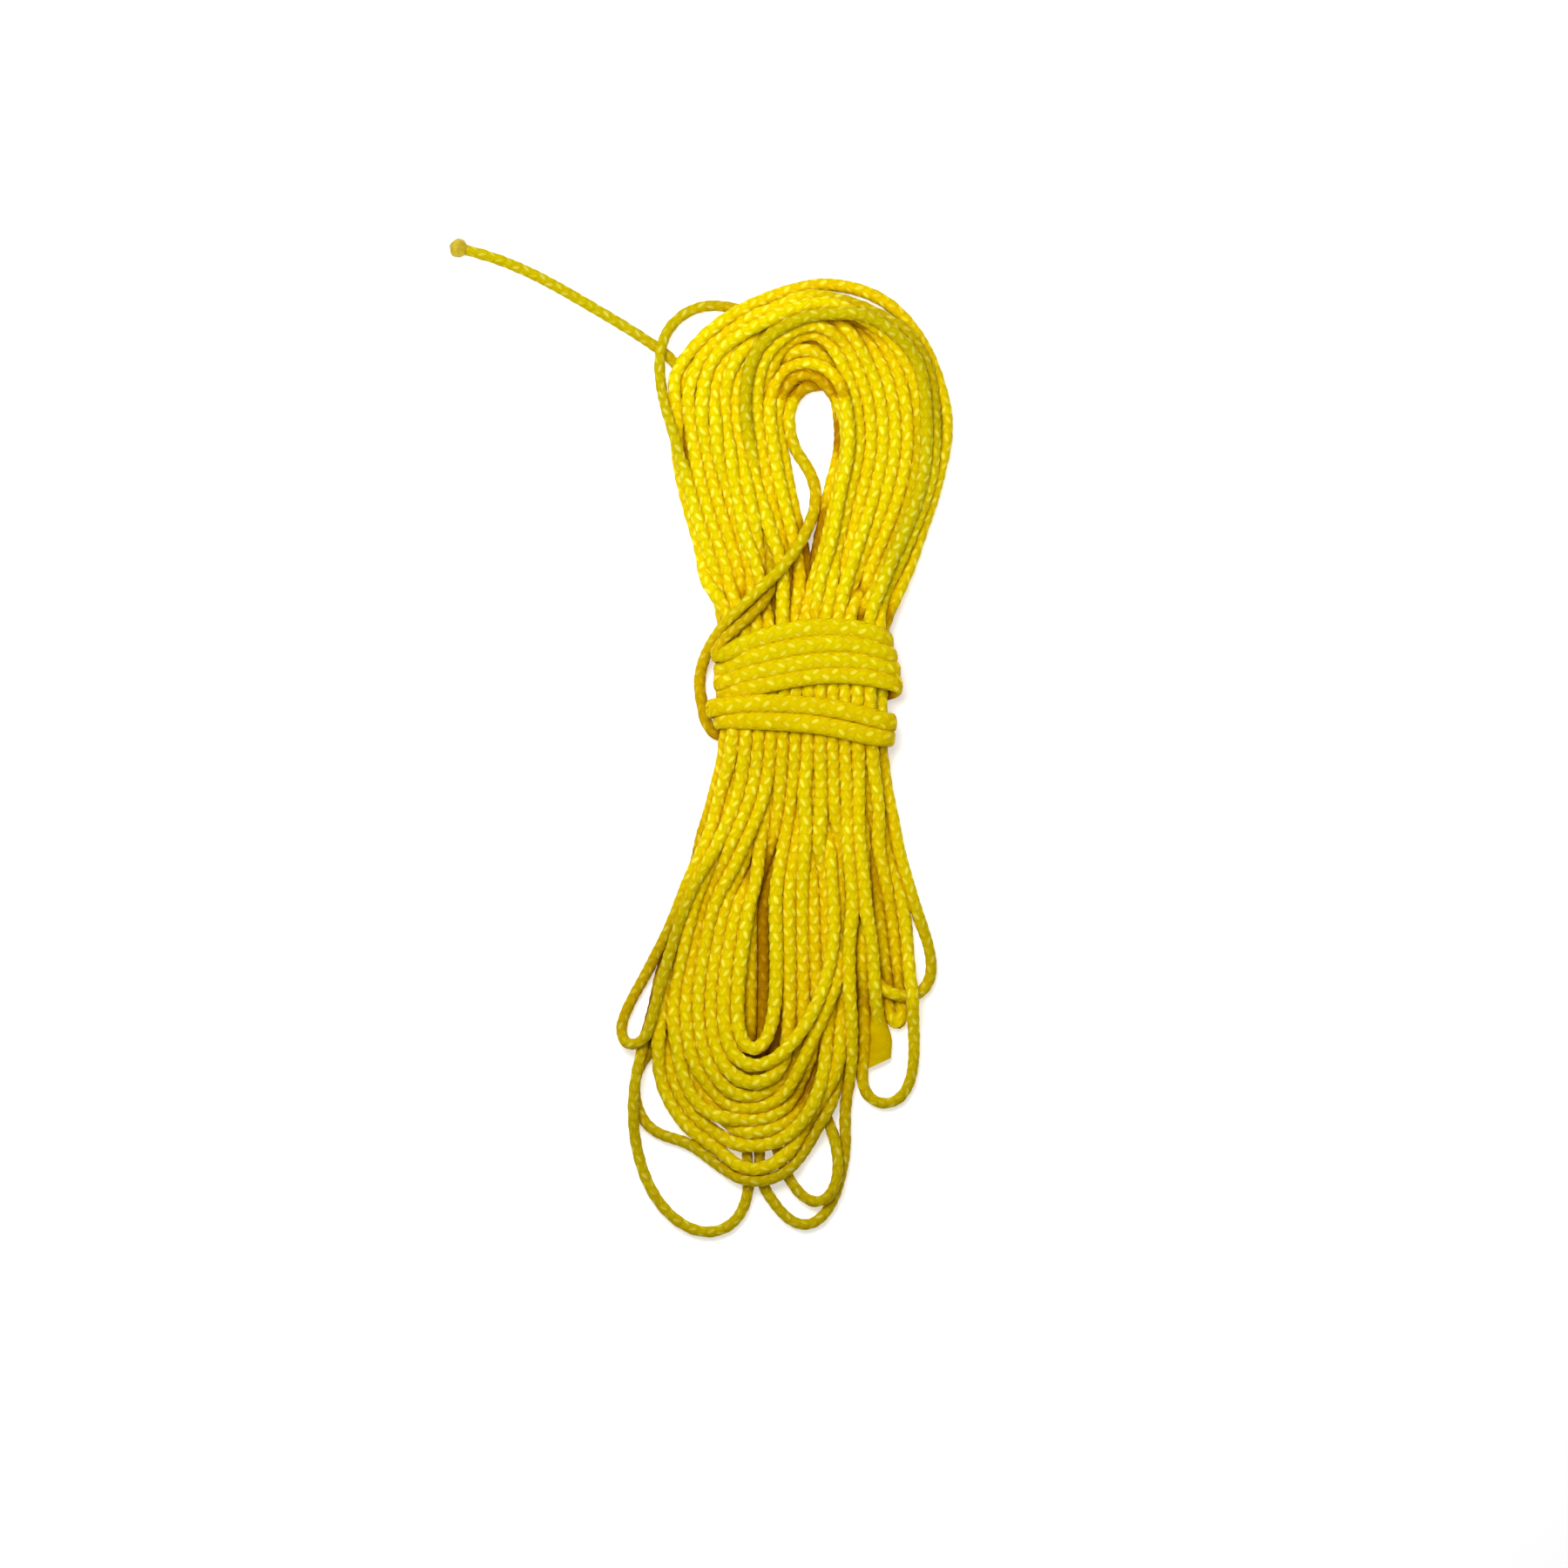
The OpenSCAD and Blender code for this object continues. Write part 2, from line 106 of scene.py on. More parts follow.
# Turns below the waist, from their left strand to their right one
TURNS = {
    "U0": [(-7.9, -27, 3.4), (-8.6, -32, 3.8), (-9.3, -37, 4), (-9.7, -41.5, 4), (-9.8, -45, 4), (-9.4, -47.7, 4), (-8.6, -49.4, 4), (-7.3, -49.9, 4), (-6.1, -49, 4), (-5.1, -46.9, 4),
           (-4.6, -44, 4), (-4.3, -40.5, 4), (-4.3, -36, 4), (-4.4, -31, 3.8), (-4.6, -27, 3.6)],
    "U1": [(-9.6, -27, 3), (-10.9, -33, 3.2), (-11.7, -39, 3.4), (-11.9, -44, 3.6), (-11.5, -48, 3.8), (-10.3, -50.7, 4), (-8.5, -51.9, 4), (-6.5, -51.9, 4.2), (-4.3, -50.8, 4.8), (-2.5, -49.1, 5.2),
           (-0.9, -47, 5.4), (0.8, -44.4, 5.4), (2.3, -41.4, 5.2), (3.4, -38, 4.6), (4.1, -34, 4), (4.3, -30, 3.6), (4.1, -27, 3.4)],
    "U2": [(-11.4, -27, 3), (-12.8, -34, 3), (-13.6, -40, 3), (-13.7, -45, 3), (-13, -49.3, 3), (-11.6, -52.1, 3.4), (-9.6, -53.9, 4), (-7.4, -54.5, 4), (-5.1, -53.9, 4), (-3.6, -52.4, 3.6),
           (-2.8, -50, 2.7), (-2.5, -46, 2.7), (-2.4, -41, 2.9), (-2.3, -35, 3.1), (-2.3, -27, 3.2)],
    "U3": [(-13, -27, 2.9), (-14.5, -34, 2.9), (-15.4, -40, 2.9), (-15.4, -46, 2.9), (-14.5, -50.8, 2.9), (-12.6, -54.2, 2.9), (-10, -56.1, 2.9), (-7.4, -56.4, 2.9), (-4.9, -55.9, 2.8), (-3, -54.2, 2.7),
           (-1.6, -52, 2.6), (-0.6, -49.5, 2.5), (-.2, -46, 2.5), (-.3, -41, 2.6), (-.4, -34, 2.8), (-.4, -27, 2.8)],
    "U4": [(-14.4, -27, 2.6), (-16.2, -34, 2.7), (-17.2, -40, 2.8), (-17.2, -46, 2.8), (-16.3, -51.3, 2.9), (-14.2, -55.2, 3), (-11.4, -57.7, 4), (-8.3, -58.4, 4.2), (-5.4, -57.7, 4.2), (-3.4, -55.9, 3.9),
           (-1.9, -53.4, 4), (-0.7, -50.9, 4), (0.6, -48.4, 4), (2.0, -45.6, 4), (3.4, -42.4, 3.8), (4.6, -38.5, 3.4), (5.3, -34, 3), (5.7, -27, 2.8)],
    "U5": [(-15.6, -27, 1.4), (-17.6, -34, 1.4), (-18.9, -41, 1.6), (-18.9, -48, 2), (-17.8, -53.4, 2.4), (-15.4, -57.3, 2.7), (-12.1, -59.6, 3.4), (-8.5, -60.2, 3.8), (-5, -59.6, 3.8), (-2.4, -57.8, 3.6),
           (-0.7, -55.4, 2.7), (0.4, -52.6, 2.6), (1.1, -49.4, 2.4), (1.5, -45, 2.4), (1.6, -40, 2.6), (1.4, -34, 2.9), (1.2, -27, 3)],
    "U6": [(-14.8, -27, .9), (-16.8, -34, .9), (-18.8, -40, .9), (-19.9, -46, 1.2), (-19.6, -51.4, 1.8), (-18.1, -56.2, 2.4), (-15, -60.6, 2.7), (-11.2, -63.0, 2.7), (-7.2, -63.5, 2.7), (-3.8, -62.8, 2.7),
           (-1.0, -60.5, 2.7), (1.2, -58.2, 2.7), (2.7, -55, 2.7), (3.3, -52, 2.7), (3.5, -48.5, 2.7), (3.7, -44, 2.4), (3.5, -38, 2.2), (3.2, -32, 2.4), (3.0, -27, 2.6)],
    "U7": [(-13.2, -27, .9), (-15.0, -34, .9), (-16.6, -41, .9), (-17.6, -47, .9), (-17.0, -51.5, .9), (-15.0, -55.7, .9), (-12.2, -59.1, .9), (-8.8, -61.3, 1.8), (-5.2, -61.0, 2.7), (-2, -59.3, 2.7),
           (.2, -56.8, 1.6), (1.8, -53.4, .9), (3.0, -49, .9), (3.7, -41, .9), (3.8, -34, .9), (3.8, -27, .9)],
    "U8": [(-16.4, -27, .9), (-18.6, -34, .9), (-20.4, -40, 1.2), (-21.4, -46, 1.6), (-21.5, -51, 1.9), (-20.5, -55.3, 2.1), (-18.4, -59.1, 2.3), (-15.6, -62, 2.5), (-12.8, -64.4, 2.6), (-10.3, -66.3, 2.6),
           (-7.6, -67.1, 2.6), (-4.6, -66.4, 2.6), (-2.0, -63.9, 2.4), (0.4, -60.9, 2.1), (2.3, -57.6, 1.8), (3.9, -54, 1.8), (5.0, -49.5, 1.8), (5.2, -44, 2), (5.6, -38, 2), (6.2, -32, 2.2), (6.6, -27, 2.4)],
    "U9": [(-10.2, -27, .9), (-10.4, -34, .9), (-10.7, -40, .9), (-10.9, -45, .9), (-10.7, -48.6, .9), (-9.9, -51.2, 1.2), (-8.6, -52.9, 2.2), (-6.4, -53.2, 2.7), (-3.8, -52, 2.5), (-1.6, -49.8, 2.7),
           (.2, -47, 1.6), (1.4, -43, .9), (2.0, -38, .9), (2.2, -33, .9), (2.2, -27, .9)],
    "C": [(-17.0, -26, 3), (-18.8, -31, 3), (-21.2, -35.4, 3), (-23.8, -40, 2.4), (-25.8, -43.8, 1.4), (-26.8, -46.6, .9), (-26.4, -48.3, .9), (-25, -49.2, 1.6), (-23.1, -48.2, 2.7),
          (-22.1, -45.6, 2.9), (-21.3, -42, 2.9), (-20.0, -37, 2.9), (-18.0, -31, 2.9), (-16.2, -26, 2.9)],
    "D": [(-17.0, -27, .9), (-18.9, -34, .9), (-20.6, -40, .9), (-21.9, -45.5, .9), (-23.3, -49.6, 1.6), (-24.3, -52.6, 2.7), (-24.7, -55.6, 2.7), (-24.8, -58.8, 2.7), (-24.6, -62, 1.4), (-23.9, -65.4, .9),
          (-22.6, -69, .9), (-20.3, -72.5, .9), (-17.4, -74.9, .9), (-14.4, -75.9, .9), (-11.7, -75.4, .9), (-9.6, -73.7, .9), (-8.5, -71.2, .9), (-8.2, -68.6, .9), (-8.4, -65.4, .9),
          (-8.4, -60, .9), (-8.3, -52, .9), (-8.0, -47, 2.0), (-8.0, -42, 2.2), (-8.0, -34, 2.2), (-8.0, -27, 2.2)],
    "E": [(-15.6, -26, .9), (-17.6, -33, .9), (-19.4, -40, .9), (-21.0, -46, .9), (-23.5, -50.6, .9), (-24.7, -54, .9), (-24.4, -57.4, .9), (-23.2, -60.1, .9), (-20.9, -61.8, .9), (-18.0, -62.5, .9),
          (-15.6, -63.4, .9), (-13.2, -65.4, .9), (-11, -67.3, .9), (-8.4, -68.5, 1.6), (-5.6, -68.5, 1.6), (-3, -67.2, .9), (-0.7, -65.0, .9), (1.0, -61.9, 1.6), (2.6, -58.8, 2.6),
          (4.0, -55.6, 1.8), (5.4, -50, .9), (6.2, -42, .9), (6.8, -34, .9), (7.0, -27, .9)],
    "F": [(-5.9, -27, .9), (-6.0, -36, .9), (-6.2, -46, .9), (-6.6, -54, .9), (-6.7, -61, .9), (-6.8, -65, .9), (-6.6, -68.0, .9), (-5.6, -70, .9), (-4, -72.3, .9), (-2.2, -74.2, .9), (-0.2, -75.0, .9),
          (1.7, -74.4, .9), (3.4, -72.1, .9), (4.7, -69, .9), (5.5, -65, .9), (5.7, -61, 1), (5.8, -57, 2.2), (6.4, -52, 3.0), (6.35, -46, 3.6), (6.2, -40, 3.6), (6.2, -34, 3.4), (6.8, -27, 3.4)],
    "G": [(-3.2, -27, .9), (-3.4, -36, .9), (-4.0, -43, .9), (-4.5, -48, .9), (-4.8, -53, .9), (-4.6, -60.6, .9), (-4.0, -64, .9), (-2.6, -67.4, .9), (-1.6, -69.3, 1.2), (-0.1, -71.0, 2), (1.6, -71.7, 2.5),
          (3.1, -71.2, 2.6), (4.3, -69.2, 2.6), (4.8, -65.6, 2.6), (4.4, -62.6, 2.0), (3.4, -60.4, .9), (2.4, -58.4, .9), (2.2, -54, .9), (3.2, -49, .9), (4.8, -42, .9), (5.3, -35, .9), (5.4, -27, 1.0)],
    "A": [(8.0, -27, .9), (8.8, -34, .9), (9.6, -39, .9), (11.2, -41.2, 1.8), (13.4, -41.7, 2.4), (15.3, -42.0, 1.6), (16.7, -41.4, .9), (17.8, -40, .9), (18.2, -38, .9), (17.9, -35.4, .9), (16.9, -32, .9), (15.6, -28.4, 1), (14.4, -25, 1.4)],
    "B": [(8.6, -27, .9), (8.4, -36, .9), (8.4, -44, .9), (8.35, -50.5, .9), (8.0, -53.8, .9), (8.6, -56.1, .9), (11.1, -57.5, .9), (13.6, -56.7, .9), (15.1, -54, .9), (15.6, -50, .9), (15.5, -46, 2),
          (15.1, -41.4, 3.4), (14.6, -36, 3.2), (14.0, -31, 3), (13.2, -26, 3)],
    "H": [(10.2, -27, .9), (11.1, -34, .9), (11.8, -40, .9), (12.0, -43.4, .9), (12.3, -45.4, 1.2), (13.1, -46.4, 1.4), (13.9, -45.6, 1.6), (13.9, -43.6, 1.4), (13.4, -41.6, 1.2), (13.2, -38, 1.6), (12.8, -33, 2.4), (12.0, -27, 2.6)],
    "K": [(7.8, -22, 3.2), (8.4, -27, 3.4), (9.2, -33, 3.6), (9.7, -37, 3.8), (10.1, -41, 4.0), (10.4, -44.4, 3.7), (10.6, -47.4, 2.6), (10.6, -49.6, 1.9), (10.6, -52.2, 1.7)],
}

# Strands below the waist from left to right: which turn each one belongs to
LOWER = ["D1", "C1", "U8", "C2", "E1", "U5", "U6", "U4", "U7", "U3", "U9", "U2", "D2", "U1", "U0",
         "F1", "U0", "G1", "U2", "U3", "U9", "U5", "U6", "U1", "U7", "G2", "U4", "U8", "E2", "F2",
         "A1", "K1", "B1", "H1", "H2", "B2", "A2"]


def lower_partner():
    first, pair = {}, {}
    for i, n in enumerate(LOWER):
        key = n[0] if n[0] != "U" else n
        if key in first:
            pair[i], pair[first[key]] = first[key], i
        else:
            first[key] = i
    return pair


def upper_partner(pair_low):
    up = {}
    for a, b, p in ARCS:
        up[a], up[b] = b, a

    def cross(a, b):
        # the arcs of left strands a and b change right ends
        ra, rb = up[a], up[b]
        up[a], up[b], up[ra], up[rb] = rb, ra, b, a

    def parts():
        label, seen = {}, 0
        for s in range(NU):
            if s in label:
                continue
            todo = [s]
            while todo:
                q = todo.pop()
                if q in label:
                    continue
                label[q] = seen
                for m in (up, pair_low):
                    if q in m:
                        todo.append(m[q])
            seen += 1
        return label, seen
    label, n = parts()
    swaps = [(4, 6), (6, 8), (2, 4), (8, 11), (11, 13), (13, 17), (7, 9), (9, 10), (16, 17), (14, 15), (10, 14), (5, 7), (15, 16), (0, 2), (3, 5), (1, 3), (12, 14)]
    done = []
    while n > 1:
        for a, b in swaps:
            if label[a] != label[b] and not any(a in d or b in d for d in done):
                cross(a, b)
                done.append((a, b))
                break
        else:
            for a, b in swaps:
                if label[a] != label[b]:
                    cross(a, b)
                    done.append((a, b))
                    break
        label, n = parts()
    return up, done


ARC_OF = {a: (b, np.array(p, float)) for a, b, p in ARCS}
ARC_TO = {b: a for a, b, p in ARCS}
LAYER_UP = {}
for _a, _b, _p in ARCS:
    LAYER_UP[_a], LAYER_UP[_b] = _p[0][2], _p[-1][2]
LAYER_UP[18] = 0.9
START = {}
for _n, _p in TURNS.items():
    _i = [k for k, v in enumerate(LOWER) if (v == _n if _n[0] == "U" else v[0] == _n)]
    START[_i[0]] = _p[0]
    if len(_i) > 1:
        START[_i[1]] = _p[-1]


def slots():
    """x, z of each strand in the waist: three rows, packed."""
    x, z = np.zeros(NU), np.zeros(NU)
    for c in range(13):
        m = [i for i in range(3 * c, min(3 * c + 3, NU))]
        m.sort(key=lambda i: LAYER_UP[i] + START[i][2] + 0.01 * i)
        rows = [0, 1, 2] if len(m) == 3 else [1]
        out = 1.0 if len(m) == 1 else 0.0
        for i, r in zip(m, rows):
            x[i] = -11.15 + 1.76 * c + (out if r == 1 else 0.9)
            z[i] = 2.75 + 1.72 * r
    return x, z


SX, SZ = slots()
FOOT = {a: p[0] for a, b, p in ARCS}
FOOT.update({b: p[-1] for a, b, p in ARCS})
FOOT[0] = (-18.2, 44, 2.4)
FOOT[18] = (5.0, 44, 0.9)


def frac(i):
    x = FOOT[i][0]
    if i < 18:
        return min(1, (x - XLO(44)) / (XLI(44) - XLO(44)))
    return (XRO(44) - x) / (XRO(44) - XRI(44))


def leg_x(i, y):
    f = frac(i)
    if i < 18:
        return XLO(y) + (XLI(y) - XLO(y)) * f
    return XRO(y) + (XRI(y) - XRO(y)) * f


def up_leg(i):
    """From the waist to the foot of the crown."""
    z = FOOT[i][2]
    pts = [(SX[i], 3.5, SZ[i]), (SX[i], 9, SZ[i])]
    for y, w in ((13.5, .45), (18.5, .9), (25, 1), (31, 1), (37, 1)):
        if i == 0 and y > 30:
            continue
        x = leg_x(i, y)
        pts.append((SX[i] * (1 - w) + x * w, y, SZ[i] + (z - SZ[i]) * w))
    return pts


def even(p, n):
    p = np.asarray(p, float)
    s = np.r_[0, np.cumsum(np.linalg.norm(np.diff(p, axis=0), axis=1))]
    q = np.linspace(0, s[-1], n)
    return np.stack([np.interp(q, s, p[:, k]) for k in range(3)], 1)


def crown_arc(i, j):
    """From left strand i over to right strand j."""
    own, a = ARC_OF[i]
    if own == j:
        return a
    b = ARC_OF[ARC_TO[j]][1]
    a, b = even(a, 22), even(b, 22)
    w = np.clip((np.linspace(0, 1, 22) - 0.36) / 0.36, 0, 1)[:, None]
    w = w * w * (3 - 2 * w)
    return a * (1 - w) + b * w


def low_leg(i, start):
    """From the waist down to where the turn's own curve starts."""
    pts = [(SX[i], -1.5, SZ[i]), (SX[i], -5.5, SZ[i])]
    sx, sy, z = start
    for y in (-10.5, -15.5, -20.5):
        if y < sy + 3:
            break
        s = (-4 - y) / (-4 - sy)
        w = s ** 1.95
        pts.append((SX[i] + (sx - SX[i]) * w, y, SZ[i] + (z - SZ[i]) * min(1, s * 1.25)))
    return pts


TIE = [(-3.1, 40.2, 1.0), (-2.6, 38.5, 1.4), (-1.6, 36.8, 2.0), (0.15, 34.5, 2.8), (1.4, 31.8, 3.8), (1.65, 29, 4.8), (0.6, 26, 5.6),
       (-1.1, 22.8, 6.0), (-3.6, 19.4, 6.4), (-6.6, 15.8, 7.0), (-9.5, 13.1, 7.6), (-11.8, 11.1, 7.6), (-13.8, 8.7, 7.0),
       (-15.0, 5.9, 6.2), (-15.4, 3.2, 5.4), (-15.1, 1.2, 4.4), (-14.7, -0.6, 3.0), (-14.5, -2.0, 2.2), (-13.6, -3.6, 1.4), (-11.8, -4.8, .9)]
WRAPS = [
    (-9, -5, 0.9), (0, -5, 0.9), (8.5, -5, 0.9), (11.7, -4.8, 2.3), (12.6, -4.5, 4.5), (11.9, -4.6, 6.8),
    (9.6, -4.5, 7.9), (5.6, -3.5, 8.1), (1.2, -2.7, 8.1), (-4.1, -2.3, 8.1), (-9.2, -2.1, 8), (-12.05, -2, 6.9), (-13.15, -2, 4.8),
    (-12.05, -2.4, 2.2), (-9, -2.8, 0.9), (0, -3, 0.9), (9, -2.9, 0.9), (11.9, -2.7, 2.3), (12.9, -2.4, 4.5), (12.1, -2.5, 6.9),
    (10, -1.9, 7.9), (6.4, -0.9, 8.1), (1.2, -0.1, 8.1), (-4.1, 0.3, 8.1), (-9.6, 0.2, 8.1), (-12.75, -0.2, 7.3), (-14.45, -0.5, 5.4), (-13.55, -0.7, 3.6),
    (-11.75, -0.8, 1.8), (-9, -0.6, 0.9), (0, 0.4, 0.9), (9, 1.6, 0.9), (12.3, 2.2, 2.3), (13.8, 2.7, 4.5), (13, 3.2, 6.8),
    (9.8, 4, 8), (4, 4.5, 8.1), (-1.5, 3.9, 8.1), (-6.9, 2.8, 8.1), (-10.6, 2.2, 7.6), (-12.35, 2, 5.8), (-12.55, 2, 4.2),
    (-11.75, 2, 2), (-9, 2.2, 0.9), (0, 3.6, 0.9), (9, 4.4, 0.9), (12.4, 4.6, 2.3), (13.5, 4.8, 4.5), (12.6, 5.3, 6.8),
    (9.4, 6.1, 8), (4, 6.5, 8.2), (-1.5, 5.9, 8.2), (-6.9, 4.8, 8.2), (-10.6, 4, 7.7), (-12.75, 3.3, 5.9), (-13.15, 3.2, 4.2),
    (-11.75, 3.4, 2), (-9, 4, 0.9), (0, 5.4, 0.9), (9, 6.3, 0.9), (12.1, 6.6, 2.3), (13, 6.7, 4.5), (12.1, 7.2, 6.8),
    (9.4, 8.3, 8), (4, 8.9, 8.2), (-1.5, 8.3, 8.2), (-6.9, 7.1, 8.2), (-10.6, 5.8, 7.7), (-12.75, 4.8, 5.9), (-12.95, 4.6, 4.2),
    (-11.75, 4.8, 2), (-9, 5.8, 0.9), (0, 7.4, 0.9), (9, 8.5, 0.9), (11.7, 8.8, 2.3), (12.3, 9, 4.5), (11.5, 9.5, 6.8),
    (9, 10.6, 7.9), (4, 11.2, 8.1), (-1.5, 10.8, 8.1), (-6.9, 9.5, 8.1), (-10.4, 8, 7.8), (-12.25, 6.9, 6.8)]
TAIL = [(-13.5, 6.4, 5.9), (-13.3, 7.5, 6), (-12.2, 9.1, 6.4), (-10.3, 11, 6.4), (-8, 13.1, 6.2), (-6, 15.4, 5.6), (-4.9, 18, 4.4), (-5, 21, 3), (-6.2, 25, 2), (-8.4, 30, 1.6),
        (-11.2, 35.4, 1.4), (-13.8, 40.4, 1.2), (-15.8, 44.6, 1), (-17.1, 47.4, 0.9), (-18.5, 49.4, 0.9),
        (-20.8, 51.15, 0.9), (-24.4, 53.55, 0.9), (-28, 55.75, 0.9), (-31.4, 57.75, 0.9), (-35, 59.85, 0.9), (-38.9, 61.95, 0.9), (-42.6, 63.6, 0.9), (-46.1, 64.85, 0.9), (-49.2, 65.65, 0.9)]


def route():
    """Control points of the whole line, cut end to sealed end, and a tag for each."""
    low = lower_partner()
    up, done = upper_partner(low)
    pts, tag = [], []

    def add(ps, t):
        for p in ps:
            pts.append(tuple(p))
            tag.append(t)
    s = LOWER.index("K1")
    add(list(reversed(TURNS["K"])), "low:K")
    add(list(reversed(low_leg(s, TURNS["K"][0]))), "leg")
    while True:
        # up strand s, over and down its partner
        add(up_leg(s), "leg")
        if s == 18:
            add(TIE_ARC, "tiearc")
            break
        o = up[s]
        i, j = min(s, o), max(s, o)
        arc = crown_arc(i, j)
        t = {0: "ear", 12: "pair", 1: "rim", 2: "edge", 3: "edge"}.get(i, "crown")
        add(arc if s < o else list(reversed(arc)), t)
        s = o
        add(list(reversed(up_leg(s))), "leg")
        # down and round below
        name = LOWER[s]
        key = name if name[0] == "U" else name[0]
        curve = TURNS[key]
        other = low[s]
        if other < s:
            curve = list(reversed(curve))
        add(low_leg(s, curve[0]), "leg")
        add(curve, "low:" + key)
        add(list(reversed(low_leg(other, curve[-1]))), "leg")
        s = other
    add(TIE, "tie")
    add(WRAPS, "wrap")
    add(TAIL, "tail")
    return np.array(pts, float), tag, up, low


def spline(P, spacing):
    """A smooth curve through P (centripetal Catmull-Rom), resampled evenly."""
    P = np.asarray(P, float)
    keep = np.r_[True, np.linalg.norm(np.diff(P, axis=0), axis=1) > 0.3]
    P = P[keep]
    ext = np.vstack([2 * P[0] - P[1], P, 2 * P[-1] - P[-2]])
    t = np.r_[0, np.cumsum(np.linalg.norm(np.diff(ext, axis=0), axis=1) ** 0.5)]
    out, src = [], []
    idx = np.flatnonzero(keep)
    for k in range(1, len(ext) - 2):
        n = max(3, int(np.linalg.norm(ext[k + 1] - ext[k]) / 0.25))
        u = np.linspace(t[k], t[k + 1], n, endpoint=False)[:, None]
        p0, p1, p2, p3 = ext[k - 1], ext[k], ext[k + 1], ext[k + 2]
        t0, t1, t2, t3 = t[k - 1], t[k], t[k + 1], t[k + 2]
        a1 = (t1 - u) / (t1 - t0) * p0 + (u - t0) / (t1 - t0) * p1
        a2 = (t2 - u) / (t2 - t1) * p1 + (u - t1) / (t2 - t1) * p2
        a3 = (t3 - u) / (t3 - t2) * p2 + (u - t2) / (t3 - t2) * p3
        b1 = (t2 - u) / (t2 - t0) * a1 + (u - t0) / (t2 - t0) * a2
        b2 = (t3 - u) / (t3 - t1) * a2 + (u - t1) / (t3 - t1) * a3
        out.append((t2 - u) / (t2 - t1) * b1 + (u - t1) / (t2 - t1) * b2)
        src.append(np.full(n, idx[k - 1]))
    out.append(P[-1][None])
    src.append(np.array([idx[-1]]))
    C, src = np.vstack(out), np.concatenate(src)
    s = np.r_[0, np.cumsum(np.linalg.norm(np.diff(C, axis=0), axis=1))]
    n = int(round(s[-1] / spacing))
    q = np.linspace(0, s[-1], n + 1)
    Q = np.stack([np.interp(q, s, C[:, k]) for k in range(3)], 1)
    return Q, src[np.clip(np.searchsorted(s, q, side="right") - 1, 0, len(src) - 1)]


def near_pairs(P, reach, skip):
    """Index pairs closer than reach, further than skip apart along the line."""
    n = len(P)
    A, B = [], []
    idx = np.argsort(P[:, 1], kind="stable")
    Y = P[idx, 1]
    hi = np.searchsorted(Y, Y + reach, side="right")
    Q = P[idx]
    for a0 in range(0, n, 256):
        a1 = min(n, a0 + 256)
        b1 = int(hi[a1 - 1])
        d = Q[a0:a1, None, :] - Q[None, a0:b1, :]
        m = (d * d).sum(2) < reach * reach
        ii, jj = np.nonzero(m)
        jj = jj + a0
        ii = ii + a0
        k = jj > ii
        A.append(idx[ii[k]])
        B.append(idx[jj[k]])
    A, B = np.concatenate(A), np.concatenate(B)
    k = np.abs(A - B) > skip
    return A[k], B[k]


def relax(P, tags, steps=500, report=None):
    """Lets the strands lie on each other and on the table without crossing."""
    P = P.copy()
    n = len(P)
    T = P.copy()
    rest = np.linalg.norm(np.diff(P, axis=0), axis=1)
    tags = np.array(tags)
    ka = np.full(n, 0.03)
    low = np.array([t.startswith("low:") and not t.startswith("low:U") for t in tags])
    lowu = np.array([t.startswith("low:U") for t in tags])
    ka[lowu] = 0.05
    ka[np.isin(tags, ["crown", "tiearc"])] = 0.06
    ka[low] = 0.18
    ka[np.isin(tags, ["tail", "ear", "rim", "edge"])] = 0.14
    ka[np.isin(tags, ["tie", "pair"])] = 0.10
    ka[tags == "wrap"] = 0.12
    grav = np.full(n, 0.018)
    grav[tags == "wrap"] = 0.0
    fixz = np.isin(tags, ["wrap", "low:D", "low:E", "low:U0", "low:U1", "low:U2", "low:U3", "pair", "rim"])
    grav[np.isin(tags, ["low:U0", "low:U1", "low:U2", "low:U3"])] = 0.0
    skip = 3
    inwaist = (T[:, 1] > -6) & (T[:, 1] < 12.5) & (tags == "leg")
    for it in range(steps):
        if it % 10 == 0:
            A, B = near_pairs(P, D * 1.35, skip)
            both = inwaist[A] & inwaist[B]
            dmin = np.where(both, D * 0.93, D * 0.99)
        # bending: towards the middle of the neighbours
        lap = np.zeros_like(P)
        lap[1:-1] = 0.5 * (P[:-2] + P[2:]) - P[1:-1]
        P += 0.25 * lap
        # gravity and anchors
        P[:, 2] -= grav
        P[:, :2] += ka[:, None] * (T[:, :2] - P[:, :2])
        P[:, 2] += np.where(fixz | inwaist, ka * 0.5 * (T[:, 2] - P[:, 2]), 0)
        # contacts
        for rep in range(2):
            d = P[A] - P[B]
            L = np.sqrt((d * d).sum(1)) + 1e-9
            pen = np.maximum(dmin - L, 0)
            hit = pen > 0
            c = (0.5 * pen / L)[:, None] * d
            cnt = np.bincount(A[hit], minlength=n) + np.bincount(B[hit], minlength=n)
            mv = np.stack([np.bincount(A, c[:, k], minlength=n) - np.bincount(B, c[:, k], minlength=n) for k in range(3)], 1)
            P += mv / np.maximum(1, 0.55 * cnt)[:, None]
            P[:, 2] = np.maximum(P[:, 2], R)
        # length
        for rep in range(2):
            for off in (0, 1):
                a = np.arange(off, n - 1, 2)
                d = P[a + 1] - P[a]
                L = np.sqrt((d * d).sum(1)) + 1e-9
                c = (0.5 * (L - rest[a]) / L)[:, None] * d
                P[a] += c
                P[a + 1] -= c
        if report and it % report == 0:
            print(it, "pairs", len(A), "pen max %.2f mean %.3f over.3: %d" % (pen.max(), pen[hit].mean() if hit.any() else 0, (pen > .3).sum()), "drift %.2f" % np.abs(P[:, :2] - T[:, :2]).max(), "top %.2f" % P[:, 2].max())
    return P

